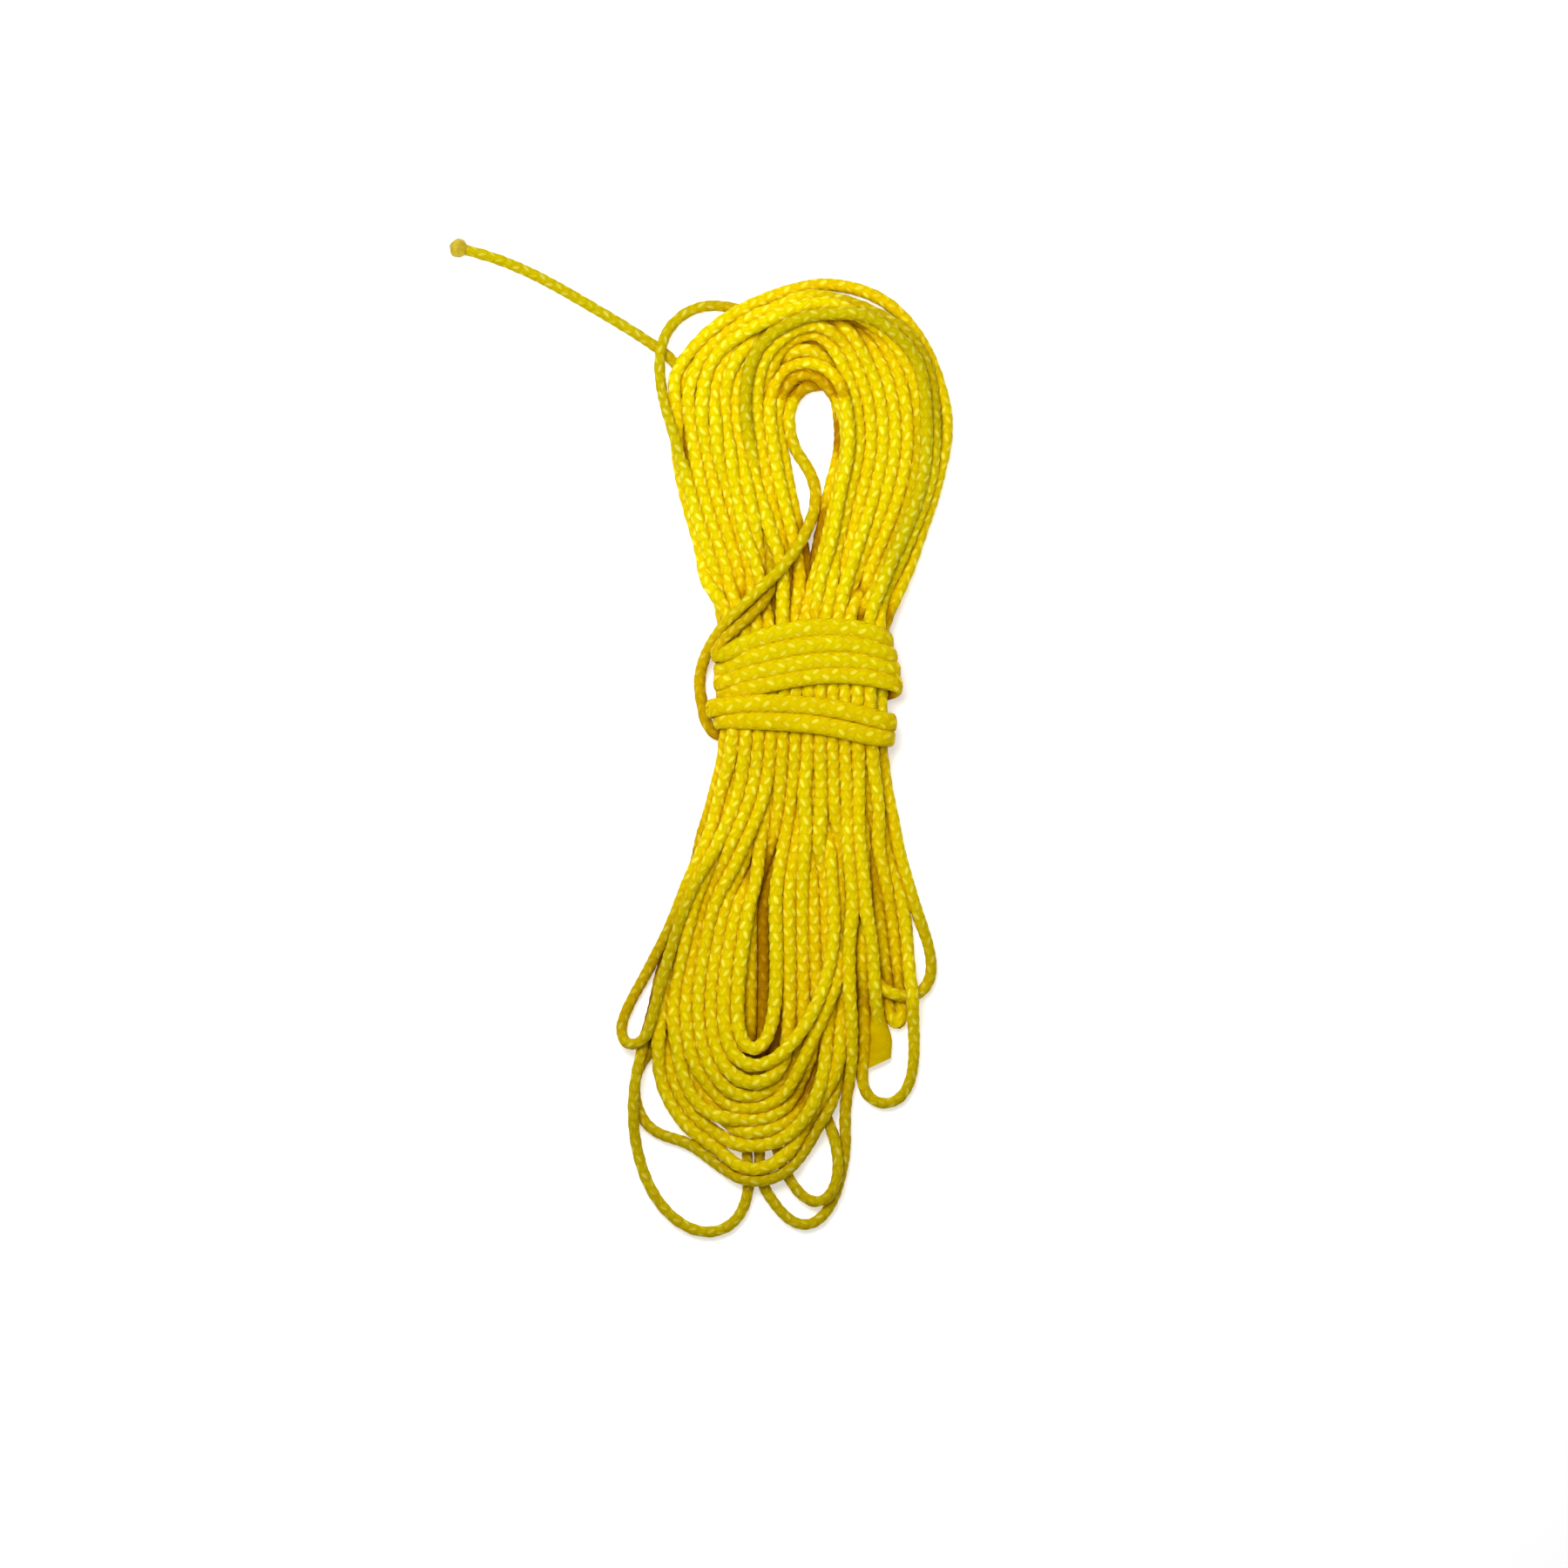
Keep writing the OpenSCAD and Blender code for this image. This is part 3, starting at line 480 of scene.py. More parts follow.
# ------------------------------------------------------------------ camera
SHIFT = np.array([15.3, 4.6, 0.0])     # from the waist's middle to the row frame
MM = 0.001


def camera():
    """Straight down, a hand's length of 225 mm across the picture."""
    data = bpy.data.cameras.new("camera")
    data.sensor_width = 36
    data.lens = 36 * 897 / 225
    data.clip_start, data.clip_end = 0.05, 10
    cam = bpy.data.objects.new("camera", data)
    cam.location = (0.012175, -0.00665, 0.9)
    bpy.context.scene.collection.objects.link(cam)
    bpy.context.scene.camera = cam


# ------------------------------------------------------------------ braid
LAY = 10.6       # one full turn of a yarn
RM = 0.60        # mean radius of the yarns' centres
RA = 0.06        # how far a yarn goes out and in as it crosses the others
YW, YT = 0.66, 0.30    # width and thickness of a yarn
CORE = 0.738     # radius of the body the crests stand above
SIDES = 6
TILT = 0.55      # how round the back of a yarn is
DS = LAY / 32


def frames(C):
    """Tangents and a side vector that turns as little as possible."""
    T = np.gradient(C, axis=0)
    T /= np.linalg.norm(T, axis=1)[:, None]
    N = np.zeros_like(C)
    n = np.array([0, 0, 1.0])
    n = n - T[0] * (n @ T[0])
    n /= np.linalg.norm(n)
    for k in range(len(C)):
        n = n - T[k] * (n @ T[k])
        n /= math.sqrt(n @ n)
        N[k] = n
    return T, N, np.cross(T, N)


def smooth_noise(rng, n, step, size):
    """n values that wander by about size, with a knot every step samples."""
    m = int(n / step) + 4
    k = rng.normal(0, size, m)
    x = np.arange(n) / step
    i = x.astype(int)
    f = x - i
    f = f * f * (3 - 2 * f)
    return k[i] * (1 - f) + k[i + 1] * f


def tube(centre, across, out, width, thick, sides, cap=True):
    """A closed yarn: rings of an oval, width along across, thick along out."""
    n = len(centre)
    if sides == SIDES:
        # a low crest outside, one corner inside
        a, b = np.array([1, 0.6, 0, -0.6, -1, 0]), np.array([0, 0.74, 1, 0.74, 0, -1])
    else:
        t = 2 * np.pi * (np.arange(sides) + 0.5) / sides
        a, b = np.cos(t), np.sin(t)
    ring = (a[None, :, None] * across[:, None, :] * (width / 2)[:, None, None]
            + b[None, :, None] * out[:, None, :] * (thick / 2)[:, None, None])
    v = (centre[:, None, :] + ring).reshape(-1, 3)
    # a rounded back, so the edges that dip under the neighbours don't show
    lean = (TILT * 2 * a * (b > -0.5))[None, :, None] * across[:, None, :] * (thick / width)[:, None, None]
    face = (lean + np.sign(b + 0.5)[None, :, None] * out[:, None, :]).reshape(-1, 3)
    i = np.arange(n - 1)[:, None] * sides
    k = np.arange(sides)[None, :]
    kn = (k + 1) % sides
    quads = np.stack([i + k, i + kn, i + sides + kn, i + sides + k], -1).reshape(-1, 4)
    return v, quads, face


def mesh_object(name, verts, quads, uv_bake, uv_yarn, values, caps, materials, faces):
    """Quads plus fans for the end caps, with two UV maps and three point values."""
    me = bpy.data.meshes.new(name)
    nq, nc = len(quads), len(caps)
    loops = np.concatenate([quads.ravel(), np.array([i for c in caps for i in c], int)]) if nc else quads.ravel()
    starts = np.concatenate([np.arange(nq) * 4, nq * 4 + np.cumsum([0] + [len(c) for c in caps[:-1]])]) if nc else np.arange(nq) * 4
    totals = np.concatenate([np.full(nq, 4), [len(c) for c in caps]]) if nc else np.full(nq, 4)
    me.vertices.add(len(verts))
    me.vertices.foreach_set("co", (verts * MM).astype(np.float32).ravel())
    me.loops.add(len(loops))
    me.loops.foreach_set("vertex_index", loops.astype(np.int32))
    me.polygons.add(nq + nc)
    me.polygons.foreach_set("loop_start", starts.astype(np.int32))
    me.polygons.foreach_set("loop_total", totals.astype(np.int32))
    me.polygons.foreach_set("use_smooth", np.r_[np.ones(nq, bool), np.zeros(nc, bool)])
    me.update(calc_edges=True)
    for label, uv in (("OFBake", uv_bake), ("yarn", uv_yarn)):
        layer = me.uv_layers.new(name=label)
        full = np.zeros((len(loops), 2), np.float32)
        full[:nq * 4] = uv.reshape(-1, 2)
        if nc:
            # caps take a small square in the corner
            pos, at = nq * 4, 0
            for c in caps:
                for q in range(len(c)):
                    t = 2 * math.pi * q / len(c)
                    full[pos] = (0.99 + 0.004 * math.cos(t), 0.99 + 0.004 * math.sin(t)) if label == "OFBake" else (0, 0.5)
                    pos += 1
        layer.data.foreach_set("uv", full.ravel())
    for label, value in zip(("high", "deep", "alone"), values):
        att = me.attributes.new(label, "FLOAT", "POINT")
        att.data.foreach_set("value", value.astype(np.float32))
    for m in materials:
        me.materials.append(m)
    # smooth sides, and end caps that face their own way
    facing = np.zeros((len(loops), 3))
    facing[:nq * 4] = (faces / np.linalg.norm(faces, axis=1)[:, None])[quads.ravel()]
    me.normals_split_custom_set(facing)
    ob = bpy.data.objects.new(name, me)
    bpy.context.scene.collection.objects.link(ob)
    return ob


def braid(name, s, C, T, N, B, twist, scale, squash_n, squash_f, wide, rough, close, painted_sunk_shade, painted_dull_amount, materials, splay=None):
    """Eight yarns round the line between two arc lengths, over one and under one."""
    n = len(s)
    verts, quads, caps, ub, uy, high, deep, alone, faces, base = [], [], [], [], [], [], [], [], [], 0
    row_len = 320
    rows_per = int(math.ceil((n - 1) / row_len))

    def press(off):
        """Pressed flat towards squash_n; at the cut end opened and lying flat."""
        d = (off * squash_n).sum(1)[:, None] * squash_n
        off = d * squash_f[:, None] + (off - d) * wide[:, None]
        if splay is not None:
            side = splay[1] * (off @ splay[1])[:, None]
            off = side * splay[0][:, None] + (off - side) * (1 - 0.22 * (splay[0] - 1))[:, None]
        return off

    def lie(out):
        """Which way the surface faces there once it is pressed."""
        d = (out * squash_n).sum(1)[:, None] * squash_n
        out = d / squash_f[:, None] + (out - d) / wide[:, None]
        if splay is not None:
            side = splay[1] * (out @ splay[1])[:, None]
            out = side / splay[0][:, None] + (out - side) / (1 - 0.22 * (splay[0] - 1))[:, None]
        return out / np.linalg.norm(out, axis=1)[:, None]
    rows = 8 * rows_per + 2
    for y in range(8):
        turn = 1 if y < 4 else -1
        th0 = 2 * np.pi * (turn * s / LAY + (y % 4) / 4 + (0 if y < 4 else 0.125))
        w = np.tanh(1.7 * np.sin(4 * th0) * turn) / math.tanh(1.7)
        # painted highlight on each crest, stronger on some crests than on others
        painted_glint = np.modf(np.abs(np.sin(np.floor(4 * th0 * turn / (2 * np.pi)) * 12.9898 + y * 78.233)) * 4375.85)[0]
        r = RM + RA * w * rough
        th = th0 + twist
        out = np.cos(th)[:, None] * N + np.sin(th)[:, None] * B
        off = press(out * (r * scale)[:, None])
        # pressed flat, the line turns sharply at its flanks and a wide yarn would stick out
        flank = (1 - (out * squash_n).sum(1) ** 2) * (1 - squash_f) / 0.38
        out = lie(out)
        c = C + off
        g = np.gradient(c, axis=0)
        g /= np.linalg.norm(g, axis=1)[:, None]
        out = out - g * (out * g).sum(1)[:, None]
        out /= np.linalg.norm(out, axis=1)[:, None]
        acr = np.cross(out, g)
        lo = 0
        hi = n
        if splay is not None:
            # the very end is pressed so flat that no yarn stands out
            lo = int(round((6.3 + 0.3 * splay[2][y]) / DS))
        spread = wide ** 0.7 if splay is None else splay[0] ** 0.6
        v, q, f = tube(c[lo:hi], acr[lo:hi], out[lo:hi], (YW * scale * spread * (1 - 0.08 * w) * (1 - 0.28 * flank))[lo:hi], (YT * scale * squash_f ** 1.2)[lo:hi], SIDES)
        m = hi - lo
        verts.append(v)
        faces.append(f)
        quads.append(q + base)
        caps.append(list(base + np.arange(SIDES))[::-1])
        caps.append(list(base + (m - 1) * SIDES + np.arange(SIDES)))
        base += len(v)
        # painted highlight down the middle of the yarn and on its crests, painted shade on its sides and in the troughs
        painted_ridge = np.array([-0.32, -0.27, 0, -0.27, -0.32, -0.32])
        high.append((((0.5 + 0.5 * w) * (0.80 + 0.34 * painted_glint))[lo:hi, None] + painted_ridge[None]).ravel())
        alone.append(np.repeat(painted_dull_amount[lo:hi], SIDES))
        # painted shade where the next strand is near on this yarn's side and where the strand lies low among others
        deep.append(np.repeat(np.clip(0.26 * close(c, s) + painted_sunk_shade, 0, 1)[lo:hi], SIDES))
        # bake map: one row for each stretch of a yarn
        i = np.arange(m - 1)
        row = y * rows_per + i // row_len
        u0, u1 = (i % row_len) / row_len, (i % row_len + 1) / row_len
        k = np.arange(SIDES)
        v0, v1 = (k + 0.06 * (k == 0)) / SIDES, (k + 1 - 0.06 * (k == SIDES - 1)) / SIDES
        U = np.empty((m - 1, SIDES, 4, 2))
        U[..., 0, 0] = U[..., 1, 0] = (u0 * 0.97 + 0.005)[:, None]
        U[..., 2, 0] = U[..., 3, 0] = (u1 * 0.97 + 0.005)[:, None]
        U[..., 0, 1] = U[..., 3, 1] = (row[:, None] + 0.06 + 0.88 * v0[None]) / rows
        U[..., 1, 1] = U[..., 2, 1] = (row[:, None] + 0.06 + 0.88 * v1[None]) / rows
        ub.append(U.reshape(-1, 2))
        W = np.empty((m - 1, SIDES, 4, 2))
        ss = s[lo:hi] * 1.1 + 37.3 * y
        W[..., 0, 0] = W[..., 1, 0] = ss[:-1, None]
        W[..., 2, 0] = W[..., 3, 0] = ss[1:, None]
        W[..., 0, 1] = W[..., 3, 1] = (k / SIDES)[None]
        W[..., 1, 1] = W[..., 2, 1] = ((k + 1) / SIDES)[None]
        uy.append(W.reshape(-1, 2))
    # the yarns are packed: only their crests stand above this body
    core_sides = 18
    pick = np.unique(np.r_[np.arange(0, n, 3), n - 1])
    m = len(pick)
    ring, face = [], []
    for q in range(core_sides):
        th = 2 * np.pi * (q + 0.5) / core_sides
        out = math.cos(th) * N + math.sin(th) * B
        off = press(out * (CORE * (1 + 0.05 * (1 - rough)) * scale)[:, None])
        if splay is not None:
            # cut a little aslant
            off = off + T * ((1.3 * (off @ splay[1]) + 2.4) * DS * np.clip(1 - (s - s[0]) / 4, 0, 1))[:, None]
        ring.append((C + off)[pick])
        face.append(lie(out)[pick])
    v = np.stack(ring, 1).reshape(-1, 3)
    faces.append(np.stack(face, 1).reshape(-1, 3))
    q = tube(C[pick], N[pick], B[pick], scale[pick], scale[pick], core_sides)[1]
    verts.append(v)
    quads.append(q + base)
    caps.append(list(base + np.arange(core_sides))[::-1])
    caps.append(list(base + (m - 1) * core_sides + np.arange(core_sides)))
    high.append(np.full(len(v), 0.45))
    alone.append(np.repeat(painted_dull_amount[pick], core_sides))
    deep.append(np.clip(0.26 * close(v, np.repeat(s[pick], core_sides)) + np.repeat(painted_sunk_shade[pick], core_sides), 0, 1))
    i = np.arange(m - 1)
    U = np.empty((m - 1, core_sides, 4, 2))
    row = 8 * rows_per
    k = np.arange(core_sides)
    U[..., 0, 0] = U[..., 1, 0] = (i / (m - 1) * 0.95)[:, None]
    U[..., 2, 0] = U[..., 3, 0] = ((i + 1) / (m - 1) * 0.95)[:, None]
    U[..., 0, 1] = U[..., 3, 1] = (row + 0.1 + 0.8 * (k / core_sides)[None]) / rows
    U[..., 1, 1] = U[..., 2, 1] = (row + 0.1 + 0.8 * ((k + 1) / core_sides)[None]) / rows
    ub.append(U.reshape(-1, 2))
    W = np.empty((m - 1, core_sides, 4, 2))
    ss = s[pick] * 1.1
    W[..., 0, 0] = W[..., 1, 0] = ss[:-1, None] + 0.25 * k
    W[..., 2, 0] = W[..., 3, 0] = ss[1:, None] + 0.25 * k
    W[..., 0, 1] = W[..., 3, 1] = (k / SIDES)[None]
    W[..., 1, 1] = W[..., 2, 1] = ((k + 1) / SIDES)[None]
    uy.append(W.reshape(-1, 2))
    return mesh_object(name, np.vstack(verts) + SHIFT, np.vstack(quads), np.vstack(ub), np.vstack(uy), (np.concatenate(high), np.concatenate(deep), np.concatenate(alone)), caps, materials, np.vstack(faces))


# ------------------------------------------------------------------ materials
def node(nt, kind, x, y, **values):
    n = nt.nodes.new(kind)
    n.location = (x, y)
    for k, v in values.items():
        if k in ("inputs",):
            for name, val in v.items():
                n.inputs[name].default_value = val
        else:
            setattr(n, k, v)
    return n


def ramp(nt, x, y, stops, interpolation="LINEAR"):
    n = nt.nodes.new("ShaderNodeValToRGB")
    n.location = (x, y)
    r = n.color_ramp
    r.interpolation = interpolation
    while len(r.elements) > 1:
        r.elements.remove(r.elements[-1])
    r.elements[0].position, r.elements[0].color = stops[0][0], (*stops[0][1], 1)
    for p, c in stops[1:]:
        e = r.elements.new(p)
        e.color = (*c, 1)
    return n


def line_material(name, low, mid, top, rough, bump, spread):
    """Bundles of fine bright filaments, side by side along each yarn."""
    m = bpy.data.materials.new(name)
    m.use_nodes = True
    nt = m.node_tree
    nt.nodes.clear()
    out = node(nt, "ShaderNodeOutputMaterial", 900, 0)
    bs = node(nt, "ShaderNodeBsdfPrincipled", 600, 0)
    nt.links.new(bs.outputs[0], out.inputs[0])
    bs.inputs["Specular IOR Level"].default_value = 0.02
    bs.inputs["IOR"].default_value = 1.4
    bs.inputs["Subsurface Weight"].default_value = 0.15
    bs.inputs["Subsurface Radius"].default_value = (1.0, 0.6, 0.05)
    bs.inputs["Subsurface Scale"].default_value = 0.0005
    bs.inputs["Specular Tint"].default_value = (1.0, 0.86, 0.12, 1)
    uv = node(nt, "ShaderNodeUVMap", -900, 0, uv_map="yarn")
    # streaks of filaments: long along the yarn, fine across it
    mp = node(nt, "ShaderNodeMapping", -700, 0)
    mp.inputs["Scale"].default_value = (1.5, 14, 1)
    nt.links.new(uv.outputs[0], mp.inputs[0])
    streak = node(nt, "ShaderNodeTexNoise", -500, 0)
    streak.inputs["Scale"].default_value = 1.0
    streak.inputs["Detail"].default_value = 3.0
    streak.inputs["Roughness"].default_value = 0.6
    nt.links.new(mp.outputs[0], streak.inputs["Vector"])
    # slow change of shade along the line
    mp2 = node(nt, "ShaderNodeMapping", -700, -300)
    mp2.inputs["Scale"].default_value = (0.8, 1.3, 1)
    nt.links.new(uv.outputs[0], mp2.inputs[0])
    slow = node(nt, "ShaderNodeTexNoise", -500, -300)
    slow.inputs["Scale"].default_value = 1.0
    slow.inputs["Detail"].default_value = 2.0
    nt.links.new(mp2.outputs[0], slow.inputs["Vector"])
    at = node(nt, "ShaderNodeAttribute", -500, 300, attribute_name="high")
    # painted shade in the troughs of the braid and painted highlight on its crests, broken up by the filaments
    a = node(nt, "ShaderNodeMath", -300, 200, operation="MULTIPLY_ADD")
    nt.links.new(streak.outputs["Fac"], a.inputs[0])
    a.inputs[1].default_value = spread
    nt.links.new(at.outputs["Fac"], a.inputs[2])
    b = node(nt, "ShaderNodeMath", -150, 200, operation="ADD")
    nt.links.new(a.outputs[0], b.inputs[0])
    b.inputs[1].default_value = -0.5 * spread
    col = ramp(nt, 0, 200, [(0.0, low), (0.55, mid), (0.80, [0.65 * m + 0.35 * t for m, t in zip(mid, top)]), (0.97, top)])
    nt.links.new(b.outputs[0], col.inputs[0])
    tone = ramp(nt, -200, -300, [(0.3, (0.88, 0.80, 0.7)), (0.7, (1.0, 1.0, 1.0))])
    nt.links.new(slow.outputs["Fac"], tone.inputs[0])
    mix = node(nt, "ShaderNodeMix", 300, 100, data_type="RGBA", blend_type="MULTIPLY")
    mix.inputs[0].default_value = 1.0
    nt.links.new(col.outputs[0], mix.inputs[6])
    nt.links.new(tone.outputs[0], mix.inputs[7])
    # painted shade: orange to brown where strands lie close together or low among others
    near = node(nt, "ShaderNodeAttribute", -200, -550, attribute_name="deep")
    painted_warm_shade = ramp(nt, 0, -550, [(0.0, (1.0, 1.0, 1.0)), (0.5, (1.0, 0.84, 0.5)), (1.0, (0.50, 0.30, 0.08))])
    nt.links.new(near.outputs["Fac"], painted_warm_shade.inputs[0])
    mix2 = node(nt, "ShaderNodeMix", 450, 100, data_type="RGBA", blend_type="MULTIPLY")
    mix2.inputs[0].default_value = 1.0
    nt.links.new(mix.outputs[2], mix2.inputs[6])
    nt.links.new(painted_warm_shade.outputs[0], mix2.inputs[7])
    # painted shade: strands marked with this value are made a duller olive
    painted_dull_node = node(nt, "ShaderNodeAttribute", -200, -800, attribute_name="alone")
    dull = ramp(nt, 0, -800, [(0.0, (1.0, 1.0, 1.0)), (1.0, (0.67, 0.65, 0.9))])
    nt.links.new(painted_dull_node.outputs["Fac"], dull.inputs[0])
    mix3 = node(nt, "ShaderNodeMix", 600, 200, data_type="RGBA", blend_type="MULTIPLY")
    mix3.inputs[0].default_value = 1.0
    nt.links.new(mix2.outputs[2], mix3.inputs[6])
    nt.links.new(dull.outputs[0], mix3.inputs[7])
    nt.links.new(mix3.outputs[2], bs.inputs["Base Color"])
    rr = node(nt, "ShaderNodeMapRange", 0, -100)
    rr.inputs["To Min"].default_value = rough - 0.1
    rr.inputs["To Max"].default_value = rough + 0.12
    nt.links.new(streak.outputs["Fac"], rr.inputs["Value"])
    nt.links.new(rr.outputs[0], bs.inputs["Roughness"])
    bp = node(nt, "ShaderNodeBump", 300, -300)
    bp.inputs["Strength"].default_value = bump
    bp.inputs["Distance"].default_value = 0.00006
    nt.links.new(streak.outputs["Fac"], bp.inputs["Height"])
    nt.links.new(bp.outputs[0], bs.inputs["Normal"])
    return m


def melt_material():
    """Line melted into a dull drop, mottled in colour and roughness."""
    m = bpy.data.materials.new("melted_end")
    m.use_nodes = True
    nt = m.node_tree
    bs = nt.nodes["Principled BSDF"]
    bs.inputs["Specular IOR Level"].default_value = 0.2
    tc = node(nt, "ShaderNodeTexCoord", -900, 0)
    nz = node(nt, "ShaderNodeTexNoise", -650, 0)
    nz.inputs["Scale"].default_value = 900.0
    nz.inputs["Detail"].default_value = 4.0
    nt.links.new(tc.outputs["Object"], nz.inputs["Vector"])
    col = ramp(nt, -400, 100, [(0.3, (0.26, 0.16, 0.004)), (0.55, (0.46, 0.34, 0.008)), (0.8, (0.58, 0.47, 0.015))])
    nt.links.new(nz.outputs["Fac"], col.inputs[0])
    nt.links.new(col.outputs[0], bs.inputs["Base Color"])
    rr = node(nt, "ShaderNodeMapRange", -400, -150)
    rr.inputs["To Min"].default_value = 0.22
    rr.inputs["To Max"].default_value = 0.5
    nt.links.new(nz.outputs["Fac"], rr.inputs["Value"])
    nt.links.new(rr.outputs[0], bs.inputs["Roughness"])
    bp = node(nt, "ShaderNodeBump", -150, -300)
    bp.inputs["Strength"].default_value = 0.4
    bp.inputs["Distance"].default_value = 0.0001
    nt.links.new(nz.outputs["Fac"], bp.inputs["Height"])
    nt.links.new(bp.outputs[0], bs.inputs["Normal"])
    return m


# ------------------------------------------------------------------ build
def solve():
    pts, tag, up, low = route()
    C, src = spline(pts, STEP)
    tags = np.array([tag[i] for i in src])
    P = relax(C, tags, 420)
    return P, tags


def dense(P, tags):
    """The relaxed line, smoothed and resampled finely; tags go with it."""
    for k in range(2):
        Q = P.copy()
        Q[1:-1] = 0.25 * P[:-2] + 0.5 * P[1:-1] + 0.25 * P[2:]
        P = Q
    n = len(P)
    s = np.r_[0, np.cumsum(np.linalg.norm(np.diff(P, axis=0), axis=1))]
    total = s[-1]
    m = int(round(total / DS))
    q = np.linspace(0, total, m + 1)
    k = np.clip(np.searchsorted(s, q, side="right") - 1, 0, n - 2)
    f = ((q - s[k]) / (s[k + 1] - s[k]))[:, None]
    a, b, c, d = P[np.maximum(k - 1, 0)], P[k], P[k + 1], P[np.minimum(k + 2, n - 1)]
    C = 0.5 * (2 * b + (c - a) * f + (2 * a - 5 * b + 4 * c - d) * f ** 2 + (3 * b - a - 3 * c + d) * f ** 3)
    near = np.where(f[:, 0] < 0.5, k, k + 1)
    ss = np.r_[0, np.cumsum(np.linalg.norm(np.diff(C, axis=0), axis=1))]
    return C, ss, tags[near]


def closeness(C, s):
    """Gives, for points beside the line, 0 in the open and 1 against another strand."""
    cell, hop = 2.0, 3
    Q, qs = C[::hop], s[::hop]
    lo = Q.min(0) - 3 * cell
    dim = (np.ceil((Q.max(0) + 3 * cell - lo) / cell)).astype(int)

    def key(ix):
        return (ix[:, 0] * dim[1] + ix[:, 1]) * dim[2] + ix[:, 2]
    k = key(np.floor((Q - lo) / cell).astype(int))
    order = np.argsort(k, kind="stable")
    ks = k[order]

    def close(points, arc):
        best = np.full(len(points), 9.0)
        ix = np.floor((points - lo) / cell).astype(int)
        for dx in (-1, 0, 1):
            for dy in (-1, 0, 1):
                for dz in (-1, 0, 1):
                    kk = key(ix + np.array([dx, dy, dz]))
                    a, b = np.searchsorted(ks, kk), np.searchsorted(ks, kk, side="right")
                    for m in range(int((b - a).max(initial=0))):
                        live = np.flatnonzero(a + m < b)
                        o = order[a[live] + m]
                        d = np.linalg.norm(points[live] - Q[o], axis=1)
                        d[np.abs(arc[live] - qs[o]) < 4.0] = 9.0
                        best[live] = np.minimum(best[live], d)
        t = np.clip((1.66 - best) / 0.42, 0, 1)
        return t * t * (3 - 2 * t)
    return close


def depth(C):
    """How much painted shade a strand gets: 0 for strands level with those beside them, up to 1 for those lying well
    below.
    """
    cell = 1.5
    lo = C[:, :2].min(0) - 4 * cell
    dim = np.ceil((C[:, :2].max(0) - lo) / cell).astype(int) + 5
    ix = np.floor((C[:, :2] - lo) / cell).astype(int)
    top = np.zeros(dim)
    np.maximum.at(top, (ix[:, 0], ix[:, 1]), C[:, 2])
    # highest strand on each side; a strand is in a hollow when both sides stand above it
    best = np.zeros(len(C))
    for dx, dy, m in ((1, 0, 3), (0, 1, 3), (1, 1, 2), (1, -1, 2)):
        a = np.max([top[ix[:, 0] + k * dx, ix[:, 1] + k * dy] for k in range(1, m + 1)], axis=0)
        b = np.max([top[ix[:, 0] - k * dx, ix[:, 1] - k * dy] for k in range(1, m + 1)], axis=0)
        best = np.maximum(best, np.minimum(a, b))
    around = top.copy()
    for dx in (-2, -1, 0, 1, 2):
        for dy in (-2, -1, 0, 1, 2):
            if abs(dx) + abs(dy) < 4:
                around = np.maximum(around, np.roll(top, (dx, dy), (0, 1)))
    low = np.clip((around[ix[:, 0], ix[:, 1]] - C[:, 2] - 0.9) / 3.2, 0, 1)
    t = 0.45 * low + 0.8 * np.clip((best - C[:, 2] - 1.5) / 1.4, 0, 1)
    k = np.ones(9) / 9
    return np.convolve(np.pad(t, 4, mode="edge"), k, mode="valid")


def room(C, T, s):
    """The small gap to the strand lying beside, on the left and on the right."""
    hop = 3
    Q, t, q = C[::hop], T[::hop], s[::hop]
    A, B = near_pairs(Q, 2.6, 5)
    A, B = np.r_[A, B], np.r_[B, A]
    d = Q[B] - Q[A]
    side = np.stack([t[A][:, 1], -t[A][:, 0]], 1)
    side /= np.maximum(np.linalg.norm(side, axis=1)[:, None], 1e-6)
    lat = (d[:, :2] * side).sum(1)
    ok = (np.abs((d * t[A]).sum(1)) < 0.7) & (np.abs(d[:, 2]) < 1.0) & (np.abs(lat) > 1.2) & (np.abs((t[A] * t[B]).sum(1)) > 0.9)
    gap = np.hypot(lat, d[:, 2]) - 1.78
    # seen from above, strands of different layers leave slits too
    lit = (np.abs((d * t[A]).sum(1)) < 0.7) & (np.abs(lat) > 1.0) & (np.abs((t[A] * t[B]).sum(1)) > 0.9)
    out = []
    for sign in (-1, 1):
        k = ok & (lat * sign > 0)
        g = np.full(len(Q), 9.0)
        np.minimum.at(g, A[k], gap[k])
        g = np.where(g < 0.5, np.maximum(g, 0), 0)
        k = lit & (lat * sign > 0)
        h = np.full(len(Q), 9.0)
        np.minimum.at(h, A[k], np.abs(lat[k]) - 1.78)
        g = np.maximum(g, np.where(h < 0.4, np.maximum(h, 0), 0))
        g = np.maximum(g, np.maximum(np.roll(g, 1), np.roll(g, -1)))
        g = np.convolve(np.pad(g, 2, mode="edge"), np.ones(5) / 5, mode="valid")
        out.append(np.interp(s, q, g))
    return out


